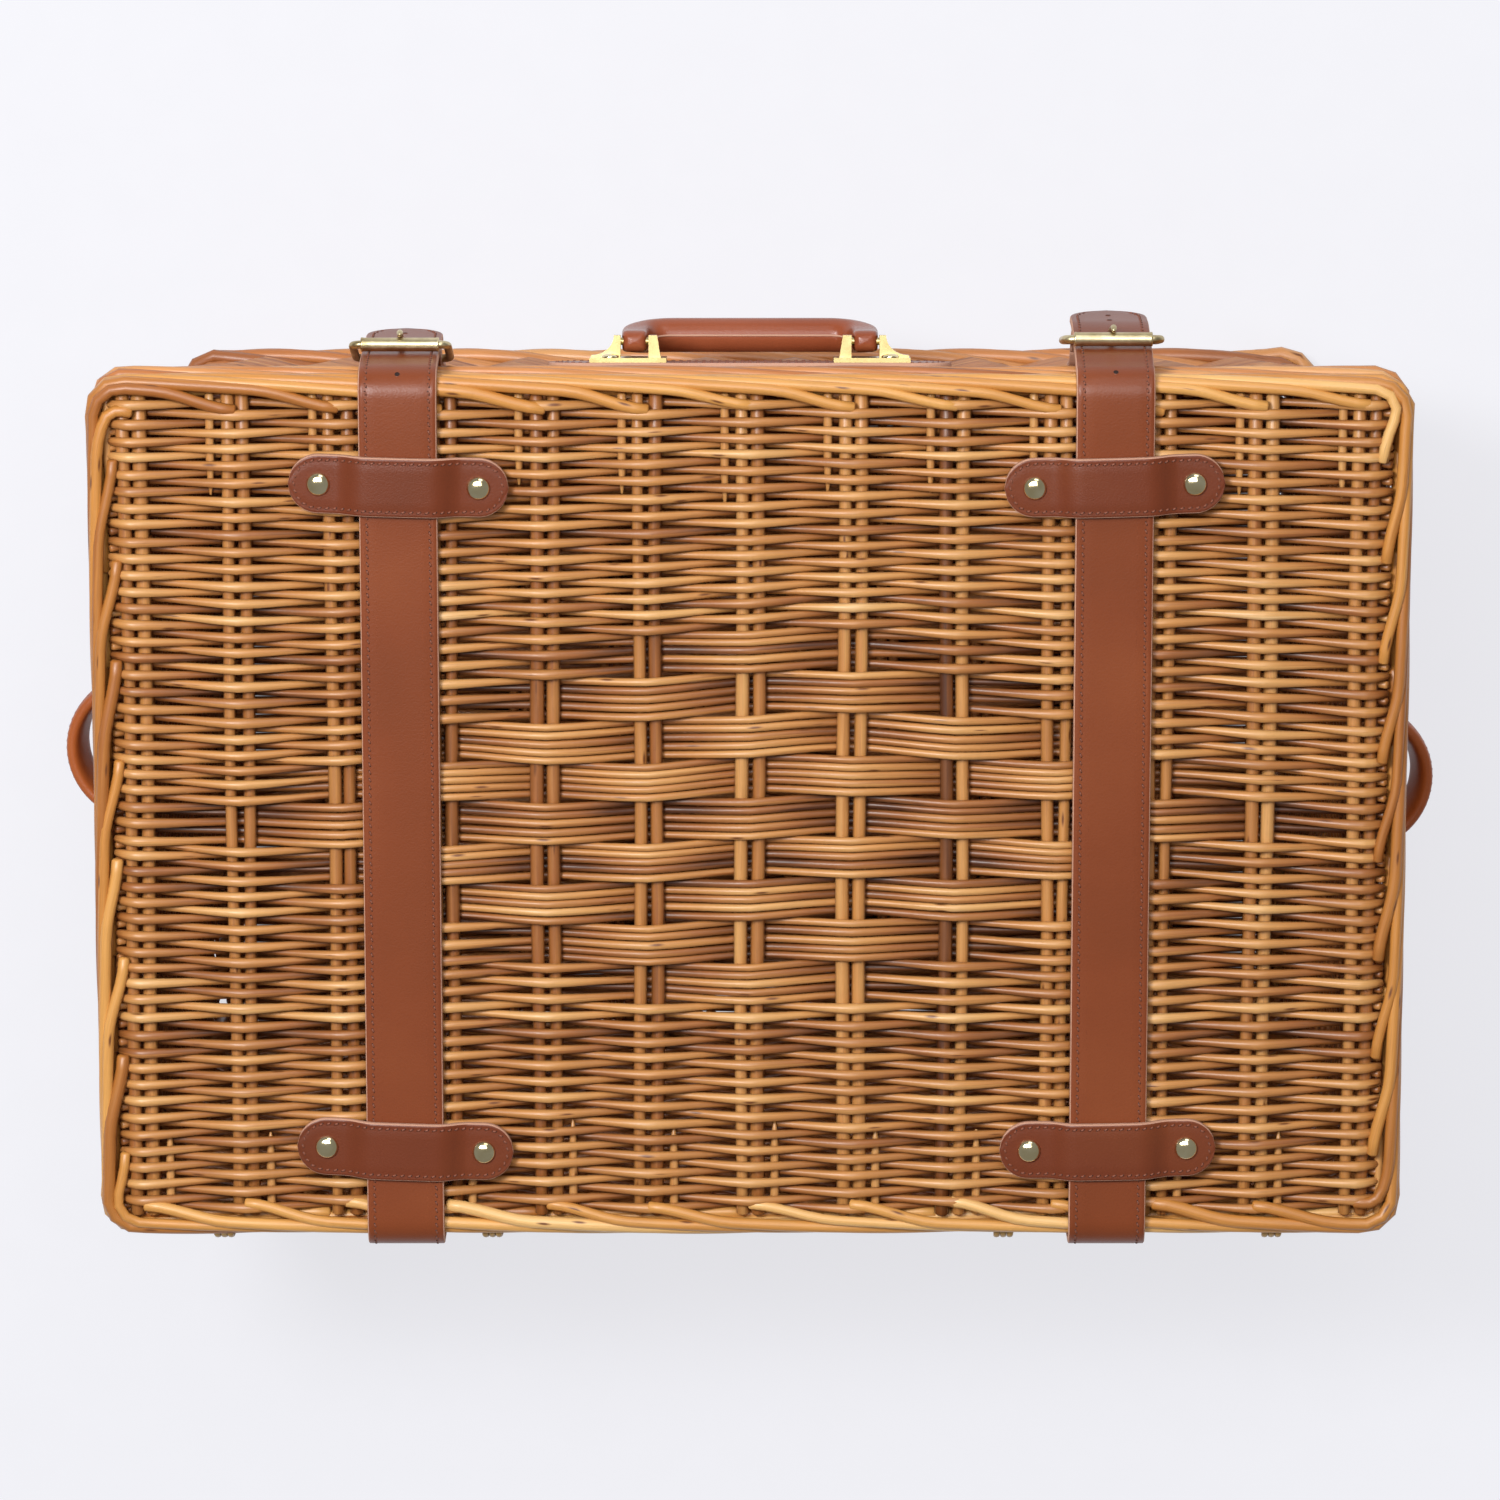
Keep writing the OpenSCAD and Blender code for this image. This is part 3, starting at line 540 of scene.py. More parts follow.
# Plain weave with a diamond of five-rod bands in the middle
def lidOver(row, pair):
    w = lidWeave
    band = row - w["frontRows"]
    middle = w["pairs"] // 2
    if 0 <= band < len(w["bands"]) * w["bandRows"]:
        reach = w["bands"][band // w["bandRows"]]
        off = abs(pair - middle)
        if off <= reach and (off - reach) % 2 == 0:
            return 1
        if off <= reach + 1 and (off - reach) % 2 == 1:
            return -1
    return 1 if (row + pair) % 2 == 0 else -1


def onLid(along, up, out):
    along, up, out = np.broadcast_arrays(along, up, out)
    return np.stack([along, up, lidTop - lidWeave["mid"] + out], -1), np.array((0, 0, 1.0))


w = lidWeave
pairXs = (np.arange(w["pairs"]) - w["pairs"] // 2) * w["pitch"]
shape = newShape()
weaveRows(shape, pairXs, (w["front"], w["back"]), w["rows"], lidOver, w["swing"], onLid, w["rodR"])
makeMesh(shape, "lid_weft", [willowWeave], "lid", ["lid_panel"])
shape = newShape()
end = w["stakeEnd"]
addStakes(shape, pairXs, (-end, end), onLid, w["stakeR"], w["apart"], 0.42)
# thin liners beside each pair near both long edges
for x in pairXs:
    for spot, span in ((x + w["linerOff"], (-end, -w["linerFront"] - rng.random() * 10 * mm)),
                       (x - w["linerOff"], (end, w["linerBack"] + rng.random() * 10 * mm))):
        points, normals = onLid(spot, np.linspace(span[0], span[1], len(w["linerR"])), 0.0)
        addRod(shape, points, normals, w["linerR"], toneAndShade=0.6)
makeMesh(shape, "lid_stakes", [willowWeave], "lid")
print("lid woven")

walls = {
    "longPairs": 12, "endPairs": 8, "pitch": 39.3 * mm, "rows": 47, "rodR": 1.84 * mm, "stakeR": 2.4 * mm,
    "apart": 2.9 * mm, "swing": 3.6 * mm, "cornerR": 12 * mm, "postR": 5.2 * mm,
    "topSet": lidRollR, "footSet": footRollR, "low": 14.5 * mm, "high": 175 * mm, "half": 4.5 * mm,
    "stakeSpan": (10.5 * mm, 178 * mm), "postSet": -1 * mm,
}
w = walls
rimHalf = (lidHalf[0] - w["topSet"], lidHalf[1] - w["topSet"])
footIn = (footHalf[0] - w["footSet"], footHalf[1] - w["footSet"])
cornerCount = [w["longPairs"] + 1, w["endPairs"] + 1] * 2
slope = (rimHalf[1] - footIn[1]) / (rimMid - footMid)
leanAngle = math.atan(slope)


def wallHalf(z):
    t = (z - footMid) / (rimMid - footMid)
    return footIn[0] + (rimHalf[0] - footIn[0]) * t, footIn[1] + (rimHalf[1] - footIn[1]) * t


# Distance from the middle to the outer face of a wall's stakes at a height, along x or y
def wallFace(z, axis):
    return wallHalf(z)[axis] + w["half"] / math.cos(leanAngle)


def wallPlace(k):
    lean = math.atan((rimHalf[0] - footIn[0]) / (rimMid - footMid))

    def place(along, z, out):
        along, z, out = np.broadcast_arrays(along, z, out)
        hx, hy = wallHalf(z)
        full = sideLength(k, rimHalf[0], rimHalf[1], w["cornerR"])
        here = (hx if k % 2 == 0 else hy) - w["cornerR"] + w["cornerR"] * math.pi / 4
        x, y, nx, ny = alongSide(k, along * here / full, hx, hy, w["cornerR"])
        normal = np.stack([nx * math.cos(lean), ny * math.cos(lean), np.full(x.shape, -math.sin(lean))], -1)
        return np.stack([x, y, z], -1) + normal * out[..., None], normal
    return place


def wallStakes(k):
    n = cornerCount[k] - 1
    full = sideLength(k, rimHalf[0], rimHalf[1], w["cornerR"])
    return np.concatenate([[-full], (np.arange(n) - (n - 1) / 2) * w["pitch"], [full]])


for k, side in enumerate(("front", "right", "back", "left")):
    first = sum(cornerCount[:k])
    shape = newShape()
    stakes = wallStakes(k)
    weaveRows(shape, stakes, (w["low"], w["high"]), w["rows"],
              lambda i, j: 1 if (i + j + first) % 2 == 0 else -1, w["swing"], wallPlace(k), w["rodR"],
              endOver=0.6 * mm, wander=0.1, toneMid=0.5)
    addStakes(shape, stakes[1:-1], w["stakeSpan"], wallPlace(k), w["stakeR"], w["apart"], 0.4)
    makeMesh(shape, "wall_weave_" + side, [willowWall], "basket", ["wall_" + side])
shape = newShape()
for k in range(4):
    full = sideLength(k, rimHalf[0], rimHalf[1], w["cornerR"])
    points, normals = wallPlace(k)(full, np.linspace(*w["stakeSpan"], 12), w["postSet"])
    addRod(shape, points, normals, w["postR"], sides=12, toneAndShade=0.45)
makeMesh(shape, "corner_post_rods", [willowWall], "basket", ["corner_posts"])

baseWeave = {"pitch": 38 * mm, "pairs": 12, "rows": 80, "swing": 2.4 * mm, "rodR": 1.98 * mm,
             "half": footHalf[1] - 13 * mm, "stakeR": 2.0 * mm, "apart": 2.6 * mm}


def onBase(along, up, out):
    along, up, out = np.broadcast_arrays(along, up, out)
    return np.stack([along, up, footMid + out], -1), np.array((0, 0, 1.0))


b = baseWeave
baseXs = (np.arange(b["pairs"]) - (b["pairs"] - 1) / 2) * b["pitch"]
shape = newShape()
weaveRows(shape, baseXs, (-b["half"], b["half"]), b["rows"], lambda i, j: 1 if (i + j) % 2 == 0 else -1,
          b["swing"], onBase, b["rodR"], perSpan=6, sides=6, endOver=8 * mm)
end = b["half"] + 1 * mm
addStakes(shape, baseXs, (-end, end), onBase, b["stakeR"], b["apart"], 0.4)
makeMesh(shape, "base_weave", [willowWall], "basket", ["base_panel"])
print("walls and base woven")


# Each rod spirals from inside to the outside and over the top, and its cut end turns in over a stake
def rolledBorder(shape, hx, hy, r, mid, spec, ends):
    for end in ends:
        t = np.linspace(0, 1, spec["steps"])
        run = spec["run"] * (1 + rng.normal(0, 0.04))
        s = end + run * (1 - t)
        point, normal = aroundLoop(s, hx, hy, r)
        lift = ease(t * 0.9 + 0.05) * 0.35 + t * 0.65
        phi = np.radians(spec["from"] + (spec["to"] - spec["from"] + rng.normal(0, 5)) * lift)
        grow = spec["inner"] + (1 - spec["inner"]) * t
        wide = spec["across"] * np.abs(normal[:, 1]) + spec["acrossEnds"] * np.abs(normal[:, 0])
        out = wide * np.cos(phi) * grow
        up = spec["high"] * np.sin(phi) * grow
        hook = ease((t - spec["hookFrom"]) / (1 - spec["hookFrom"]))
        out = out - spec["hook"] * hook * (1 + rng.normal(0, 0.15))
        up = up - spec["hookDrop"] * hook
        co = np.concatenate([point + normal * out[:, None], (mid + up)[:, None]], 1)
        radial = np.concatenate([normal * np.cos(phi)[:, None], np.sin(phi)[:, None]], 1)
        radius = spec["rodR"] * (1 + rng.normal(0, 0.07)) * (1.06 - 0.14 * t)
        # painted shade: the border rods along the two ends of the basket are coloured darker
        shade = spec["endShade"] * abs(normal[len(normal) // 2, 0])
        addRod(shape, co, radial, radius, sides=9, toneAndShade=np.clip(0.57 + rng.normal(0, 0.16) - shade, 0, 1))


def borderEnds(hx, hy, r, longAt, endAt):
    ends, edge = [], 0
    for k in range(4):
        length = 2 * sideLength(k, hx, hy, r)
        at = longAt if k % 2 == 0 else endAt
        ends += list(edge + length / 2 + np.asarray(at) * (1 if k < 2 else -1))
        edge += length
    return ends


lidBorder = {
    "across": 4.9 * mm, "acrossEnds": 3.0 * mm, "high": 5.8 * mm, "rodR": 2.4 * mm, "run": 230 * mm,
    "from": -105, "to": 104, "inner": 0.66, "hook": 5.0 * mm, "hookDrop": 0.9 * mm, "steps": 44,
    "hookFrom": 0.86, "set": 7.5 * mm, "setEnds": 5.6 * mm, "cornerR": 11 * mm, "endShade": 0.36,
}
footBorder = {
    **lidBorder, "across": 6.4 * mm, "acrossEnds": 6.4 * mm, "high": 5.9 * mm, "rodR": 3.2 * mm,
    "run": 190 * mm, "from": -165, "to": 118, "hook": 3 * mm, "inner": 0.8, "set": 9.8 * mm,
    "setEnds": 9.8 * mm, "mid": 9.2 * mm,
}
endAt = (np.arange(8) - 3.5) * 39.1 * mm
for name, spec, halves, mid, body, prefix, mats in (
        ("lid_rolled_border", lidBorder, lidHalf, lidMid, "lid", "lid_border_", willowBorder),
        ("rim_rolled_border", lidBorder, lidHalf, rimMid, "basket", "rim_", willowWall),
        ("foot_rolled_border", footBorder, footHalf, footBorder["mid"], "basket", "foot_", willowWall)):
    shape = newShape()
    hx, hy = halves[0] - spec["setEnds"], halves[1] - spec["set"]
    longAt = pairXs * 0.9 if spec is footBorder else pairXs
    ends = borderEnds(hx, hy, spec["cornerR"], longAt, endAt)
    rolledBorder(shape, hx, hy, spec["cornerR"], mid, spec, ends)
    makeMesh(shape, name, [mats], body,
             [prefix + side for side in ("front", "back", "left", "right")])
print("borders rolled")


# Rounds a bent centre line and spaces it evenly
def smoothLine(points, step, rounds):
    p = np.asarray(points, float)
    for _ in range(rounds):
        cut = np.empty((2 * len(p) - 2, p.shape[1]))
        cut[0::2] = p[:-1] * 0.75 + p[1:] * 0.25
        cut[1::2] = p[:-1] * 0.25 + p[1:] * 0.75
        p = np.concatenate([p[:1], cut[1:-1], p[-1:]])
    s = arcLengths(p)
    at = np.linspace(0, s[-1], max(4, int(round(s[-1] / step))) + 1)
    return at, pick(p, at, s)


def stripFrame(line, side):
    side = np.asarray(side, float)
    tangent = unit(np.gradient(line, axis=0))
    return unit(np.cross(tangent, side)), np.broadcast_to(side, line.shape)


# Half-width of a strip with round ends, at distance s from one end
def stadiumHalf(s, length, halfW):
    near = np.minimum(s, length - s)
    return np.where(near < halfW, np.sqrt(np.maximum(halfW ** 2 - (halfW - near) ** 2, 0)), halfW)


noEnd = 9.0   # a length far past any strip, so that only its start is rounded


# Section of a cut leather strip: soft top edges, a groove under the stitching and a raw edge below
strip = {"edge": 0.5 * mm, "dip": 0.16 * mm, "groove": 0.9 * mm, "shoulder": 0.15 * mm, "flank": 4 * mm}


def addStrip(shape, line, normal, side, halfW, t, stitchInset=3 * mm):
    n = len(line)
    halfW = np.broadcast_to(np.asarray(halfW, float), n)
    e, g = strip["edge"], stitchInset
    left = [(strip["shoulder"], -1, 0.5, -e), (e, -1, 0.5, -0.05 * mm), (g - strip["groove"], -1, 0.5, 0),
            (g, -1, 0.5, -strip["dip"]), (g + strip["groove"], -1, 0.5, 0), (g + strip["flank"], -1, 0.5, 0)]
    # inset from the edge, which edge, height as a share of thickness, height offset
    profile = left + [(0, 0, 0.5, 0.0)] + [(a, 1, h, d) for a, _, h, d in left[::-1]]
    profile += [(0, 1, -0.5, e), (e, 1, -0.5, 0), (e, -1, -0.5, 0), (0, -1, -0.5, e)]
    co = np.zeros((n, len(profile), 3))
    across = np.zeros((n, len(profile)))
    for j, (inset, edge, share, off) in enumerate(profile):
        across[:, j] = edge * np.maximum(halfW - inset, 0.02 * mm)
        co[:, j] = line + side * across[:, j, None] + normal * (share * t + off)
    closed = np.concatenate([across, across[:, :1]], 1)
    uv = np.stack(np.broadcast_arrays(arcLengths(line)[:, None], closed), -1)
    # the last top face, everything below it and the two shoulders are raw edge
    mats = np.zeros((n - 1, len(profile)), int)
    topCount = 2 * len(left) + 1
    mats[:, topCount - 1:] = 1
    mats[:, [0, topCount - 2]] = 1
    addGrid(shape, co, uv, mat=mats)


def addStitches(shape, path, normal, r=stitch["r"], closed=False):
    if closed:
        path, normal = np.concatenate([path, path[:1]]), np.concatenate([normal, normal[:1]])
    s = arcLengths(path)
    count = max(2, int(s[-1] / stitch["pitch"]))
    at = (np.arange(count) + 0.5) * s[-1] / count
    up = unit(pick(normal, at, s))
    tangent = unit(pick(path, at + 0.5 * mm, s) - pick(path, at - 0.5 * mm, s))
    a = math.radians(stitch["slant"])
    run = tangent * math.cos(a) + np.cross(up, tangent) * math.sin(a)
    long = stitch["long"]
    for c, u, d in zip(pick(path, at, s), up, run):
        low = u * stitch["sunk"]
        line = np.array([c - d * long / 2 - low, c - d * long / 4, c + d * long / 4, c + d * long / 2 - low])
        ups = np.broadcast_to(u, line.shape)
        lateral = np.cross(unit(np.gradient(line, axis=0)), ups)
        co = tubeRings(line, np.array([0.7, 1, 1, 0.7]) * r, 5, ups, lateral)
        addGrid(shape, co, gridUv(np.linspace(0, long, 4), np.linspace(0, 2 * mm, 6)), mat=2)


# Stitch line at a steady distance inside a strip's outline
def insetLoop(line, normal, side, halfW, t, inset):
    s = arcLengths(line)
    length, inner = s[-1], halfW - inset
    turn = inset + inner * (1 - np.cos(np.linspace(0, math.pi / 2, 9)))
    straight = np.arange(inset + inner + mm, length - inset - inner, mm)
    at = np.concatenate([turn, straight, length - turn[::-1]])
    width = stadiumHalf(at - inset, length - 2 * inset, inner)
    side = np.asarray(side)
    there = pick(line, at, s) + pick(side, at, s) * width[:, None]
    back = pick(line, at[::-1], s) - pick(side, at[::-1], s) * width[::-1][:, None]
    ups = np.concatenate([pick(normal, at, s), pick(normal, at[::-1], s)])
    return np.concatenate([there, back]) + ups * (t / 2), ups


leatherSet = [strapLeather, rawEdge, thread]
straps = {
    "t": 2.5 * mm, "stitchIn": 3.0 * mm, "tipR": 13 * mm, "sag": 0.7 * mm, "holeR": 1.0 * mm,
    "holeAt": 140, "tailHoles": (-15 * mm, -2 * mm, 11 * mm), "step": 2.2 * mm, "endTaper": 5 * mm,
    "endIn": 3 * mm, "sunk": 0.1 * mm, "keep": 2.5 * mm, "offBorder": 0.1 * mm,
    "bendStart": (0.150, 0.206), "bendEnd": (0.1765, 0.183),
}


# Small punched hole: a low lip round a shallow dimple painted dark, as painted shade for the hole
def addHole(shape, at, up, across, r):
    ahead = np.cross(up, across)
    c, s = circle(16)
    ring = c[:, None] * across + s[:, None] * ahead
    wide = np.array((1.25, 1.12, 1.0, 0.6, 0.05)) * r
    lift = np.array((-0.1, 0.14, 0.1, 0.06, 0.04)) * mm
    co = at + wide[:, None, None] * ring[None] + lift[:, None, None] * up
    mats = np.broadcast_to(np.array((0, 0, 3, 3))[:, None], (4, 16))
    addGrid(shape, co, gridUv(wide, np.linspace(0, 6 * r, 17)), mat=mats, capEnds=False)


# Centre line in y and z: tip through the buckle, over the front border, across the lid, round the hinge edge,
# down the back
def strapLine(side, top, frontY):
    t = straps["t"]
    tail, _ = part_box("strap_end_" + side)
    _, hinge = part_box("hinge_strap_" + side)
    back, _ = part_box("back_strap_" + side)
    rollLow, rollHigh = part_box("buckle_roller_" + side)
    frameLow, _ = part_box("buckle_frame_" + side)
    behind = (rollHigh.y + 1.75 * mm, (rollLow.z + rollHigh.z) / 2)
    heel = (tail.y + t / 2, frameLow.z + 1.6 * mm)
    wallTop = (hinge.y - t / 2, rimLow.z + 0.3 * mm)
    backY = back.y + t / 2
    frontC, backC = -lidHalf[1] + lidRollR, lidHalf[1] - lidRollR
    bendR = lidRollR + t / 2 + straps["offBorder"]
    low = top - straps["sag"]

    def overBorder(centre, r, start, stop):
        return [(centre + r * math.cos(a), lidMid + (top - lidMid) * math.sin(a))
                for a in np.radians(np.linspace(start, stop, 6))]
    pts = [(heel[0] - 0.4 * mm, tail.z), (heel[0], heel[1] - 9 * mm), (heel[0], heel[1] + 3 * mm),
           ((heel[0] + behind[0]) / 2, (heel[1] + behind[1]) / 2 + 1 * mm),
           (behind[0], behind[1] - 3 * mm), (behind[0] + 0.3 * mm, behind[1] + 5 * mm),
           (frontY, lidMid - 1 * mm)]
    pts += overBorder(frontC, bendR, 170, 95) + [(-0.145, top), (-0.12, low), (0.12, low), (0.15, top)]
    pts += overBorder(backC, wallTop[0] - backC, 85, 5)
    pts += [wallTop, (wallTop[0] - 0.3 * mm, wallTop[1] - 6 * mm)]
    topZ = wallTop[1] - 15 * mm
    pts += [(backY + (topZ - back.z) * slope, topZ), (backY, back.z)]
    bend = math.radians(straps["holeAt"])
    holes = [(frontC + bendR * math.cos(bend), lidMid + (top - lidMid) * math.sin(bend))]
    return pts, holes + [(heel[0], heel[1] + up) for up in straps["tailHoles"]]


def makeStrap(side):
    low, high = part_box("strap_" + side)
    x, halfW, t = (low.x + high.x) / 2, (high.x - low.x) / 2, straps["t"]
    pts, holes = strapLine(side, high.z - t / 2, low.y + t / 2)
    s, line2 = smoothLine(pts, straps["step"], 2)
    line = np.concatenate([np.full((len(line2), 1), x), line2], 1)
    normal, across = stripFrame(line, (-1.0, 0, 0))
    left = s[-1] - s
    tipR, taper = straps["tipR"], straps["endTaper"]
    halfWidths = np.where(s < tipR, stadiumHalf(s, noEnd, tipR) * halfW / tipR, halfW)
    halfWidths = np.where(left < taper, halfW - straps["endIn"] * (1 - left / taper) ** 2, halfWidths)
    halfWidths = np.maximum(halfWidths, 1.5 * mm)
    shape = newShape()
    addStrip(shape, line, normal, across, halfWidths, t, straps["stitchIn"])
    keep = (s > straps["keep"]) & (left > straps["keep"])
    inner = np.maximum(halfWidths - straps["stitchIn"], 0.5 * mm)
    for sign in (-1, 1):
        path = line + across * (sign * inner)[:, None] + normal * (t / 2 - straps["sunk"])
        addStitches(shape, path[keep], normal[keep])
    for hole in holes:
        i = int(np.argmin(np.linalg.norm(line2 - np.array(hole), axis=1)))
        addHole(shape, line[i] + normal[i] * (t / 2 - 0.02 * mm), normal[i], across[i], straps["holeR"])
    piece = makeMesh(shape, "long_strap_" + side, leatherSet + [punchedHole])
    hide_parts("strap_" + side, "strap_end_" + side, "hinge_strap_" + side, "back_strap_" + side)
    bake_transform(piece)


for side in ("left", "right"):
    makeStrap(side)
print("straps laid")

keepers = {
    "t": 2.5 * mm, "r": 11.5 * mm, "reach": 15 * mm, "rivetAt": 30.5 * mm, "stitchIn": 2.2 * mm,
    "sunk": 0.1 * mm,
    "tilt": {"front_left": 1.5, "front_right": -1.5, "back_left": 1, "back_right": -2},
}


# A keeper runs flat from its rivet, rises over the strap's edge and lies level on the strap
def makeKeeper(spot):
    low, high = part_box("keeper_" + spot)
    x, y = (low.x + high.x) / 2, (low.y + high.y) / 2
    t, halfL, reach = keepers["t"], (high.x - low.x) / 2, keepers["reach"]
    bottom, top = low.z + t / 2, high.z - t / 2
    pts = [(-halfL, bottom), (-reach - 11 * mm, bottom), (-reach - 6.5 * mm, bottom + 0.6 * mm),
           (-reach, top - 0.45 * mm), (-reach + 6 * mm, top)]
    pts += [(-a, b) for a, b in pts[::-1]]
    s, line2 = smoothLine(pts, 0.9 * mm, 2)
    a = math.radians(keepers["tilt"][spot])
    along = np.array((math.cos(a), math.sin(a), 0))
    line = np.array((x, y, 0)) + line2[:, :1] * along + line2[:, 1:] * np.array((0, 0, 1.0))
    normal, across = stripFrame(line, (-math.sin(a), math.cos(a), 0))
    if normal[0, 2] < 0:
        normal, across = -normal, -across
    shape = newShape()
    half = np.maximum(stadiumHalf(s, s[-1], keepers["r"]), 0.6 * mm)
    addStrip(shape, line, normal, across, half, t, keepers["stitchIn"])
    stitchT = t - 2 * keepers["sunk"]
    path, ups = insetLoop(line, normal, across, keepers["r"], stitchT, keepers["stitchIn"])
    addStitches(shape, path, ups, closed=True)
    makeMesh(shape, "keeper_loop_" + spot, [keeperLeather, rawEdge, thread], "lid",
             ["keeper_" + spot])
    return [(np.array((x, y, bottom + t / 2)) + d * keepers["rivetAt"] * along, (0, 0, 1)) for d in (-1, 1)]


# Domed caps: a short straight rim, then a quarter round
rivets = {
    "r": 4.5 * mm, "high": 2.5 * mm, "sides": 28, "rim": 0.25 * mm, "under": -0.3 * mm,
    "rise": np.linspace(0.12, 1, 9) * math.pi / 2, "close": np.linspace(0.12, 0.985, 9) * math.pi / 2,
}


def addDome(shape, at, up, r=rivets["r"], high=rivets["high"]):
    up = unit(np.array(up, float))
    first = unit(np.cross(up, (0.3, 0.9, 0.1)))
    rim = rivets["rim"]
    lift = np.concatenate([[rivets["under"], rim], rim + (high - rim) * np.sin(rivets["rise"])])
    wide = np.concatenate([[r * 0.97, r], r * np.cos(rivets["close"])])
    c, s = circle(rivets["sides"])
    ring = c[:, None] * first + s[:, None] * np.cross(up, first)
    co = np.asarray(at) + wide[:, None, None] * ring[None] + lift[:, None, None] * up
    addGrid(shape, co, gridUv(wide, np.linspace(0, 0.03, rivets["sides"] + 1)))


spots = []
for spot in ("front_left", "front_right", "back_left", "back_right"):
    spots += makeKeeper(spot)
shape = newShape()
for at, up in spots:
    addDome(shape, at, up)
makeMesh(shape, "keeper_rivet_caps", [capBrass], "lid", ["keeper_rivets"])
print("keepers riveted")

buckles = {
    "wire": 1.6 * mm, "corner": 3.2 * mm, "prong": 1.3 * mm, "curl": 2.9 * mm, "rest": 2.6 * mm,
    "along": np.array([-1, -1, -0.985, -0.955, -0.9, 0, 0.9, 0.955, 0.985, 1, 1]),
    "tube": np.array([1.75, 2.5, 2.8, 2.76, 2.66, 2.66, 2.66, 2.76, 2.8, 2.5, 1.75]) * mm,
    "prongR": np.array([1.15] * 12 + list(np.linspace(1.35, 1.2, 10)) + [1.1, 0.8]) * mm,
}


def boxMid(name):
    low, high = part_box(name)
    return np.array([(low[i] + high[i]) / 2 for i in range(3)])


# Middle of a buckle in x, half its width, and the fixed bar and the roller in y and z
def buckleFrame(side):
    low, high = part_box("buckle_frame_" + side)
    roller = boxMid("buckle_roller_" + side)[1:]
    r = buckles["wire"]
    heel = np.array((high.y - r if roller[0] < (low.y + high.y) / 2 else low.y + r, low.z + r))
    return (low.x + high.x) / 2, (high.x - low.x) / 2 - r, heel, roller


def makeBuckle(side):
    x, halfX, heel, roller = buckleFrame(side)
    c = buckles["corner"]
    run = roller - heel
    length = np.linalg.norm(run)
    run = run / length
    out = np.array((-run[1], run[0]))   # away from the wall

    def spot(a, b, lift=0.0):
        yz = heel + run * b + out * lift
        return (x + a, yz[0], yz[1])
    loop = []
    for sa, far, start in ((1, 1, 0), (-1, 1, 90), (-1, 0, 180), (1, 0, 270)):
        centre = (sa * (halfX - c), (length - c) if far else c)
        loop += [spot(a, b) for a, b in arcPoints(centre, c, start, start + 90, 7)]
    loop = np.array(loop)
    dense = []
    for p, q in zip(loop, np.roll(loop, -1, 0)):
        n = max(1, int(np.linalg.norm(q - p) / (2 * mm)))
        dense += [p + (q - p) * j / n for j in range(n)]
    dense = np.array(dense)
    normal = np.broadcast_to((0, out[0], out[1]), dense.shape)
    tangent = unit(np.roll(dense, -1, 0) - np.roll(dense, 1, 0))
    co = tubeRings(dense, buckles["wire"], 12, normal, np.cross(tangent, normal))
    co = np.concatenate([co, co[:1]])
    shape = newShape()
    addGrid(shape, co, gridUv(np.linspace(0, 0.12, len(co)), np.linspace(0, 0.01, 13)), capEnds=False)
    wire = makeMesh(shape, "buckle_wire_" + side, [antiqueBrass], "buckle_" + side,
                    ["buckle_frame_" + side])
    weld = wire.modifiers.new("weld", "WELD")
    weld.merge_threshold = 0.01 * mm
    # roller: a thin tube with slightly rolled ends
    low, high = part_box("buckle_roller_" + side)
    steps = buckles["along"] * (high.x - low.x) / 2
    centre = np.array((x, *roller)) + steps[:, None] * np.array((1.0, 0, 0))
    ys, zs = (np.broadcast_to(axis, centre.shape) for axis in ((0, 1.0, 0), (0, 0, 1.0)))
    shape = newShape()
    co = tubeRings(centre, buckles["tube"], 24, ys, zs)
    addGrid(shape, co, gridUv(steps, np.linspace(0, 0.017, 25)))
    makeMesh(shape, "roller_tube_" + side, [antiqueBrass], "roller_" + side,
             ["buckle_roller_" + side])
    # prong: wrapped round the fixed bar, tip resting on the roller
    rest = buckles["rest"]
    lift = 2.8 * mm + buckles["prong"] + 0.3 * mm
    line = [spot(0, b, up) for b, up in arcPoints((0, 0), buckles["curl"], -200, 60, 12)]
    line += [spot(0, b, rest + (lift - rest) * (b / length))
             for b in np.linspace(5 * mm, length + 1 * mm, 10)]
    line += [spot(0, length + 2.6 * mm, lift - 0.6 * mm), spot(0, length + 3.4 * mm, lift - 1.4 * mm)]
    shape = newShape()
    addRod(shape, np.array(line), (1, 0, 0), buckles["prongR"], sides=12, toneAndShade=0.5, uvShift=(0, 0))
    makeMesh(shape, "prong_wire_" + side, [antiqueBrass], "prong_" + side, ["buckle_prong_" + side])


shortStraps = {
    "t": 2.3 * mm, "endR": 9 * mm, "stitchIn": 3 * mm, "off": 6.4 * mm, "slotLow": 7.5 * mm,
    "slotHalf": 3.2 * mm, "barGap": 0.3 * mm, "rivets": (8 * mm, 22 * mm), "rivetOut": 2.6 * mm,
}


# Centre line and directions of a strip whose middle is in the plane at x, its face turned to outward
def inPlane(line2, x, outward):
    line = np.concatenate([np.full((len(line2), 1), x), line2], 1)
    normal, across = stripFrame(line, (1.0, 0, 0))
    return (line, -normal, -across) if outward(normal) < 0 else (line, normal, across)


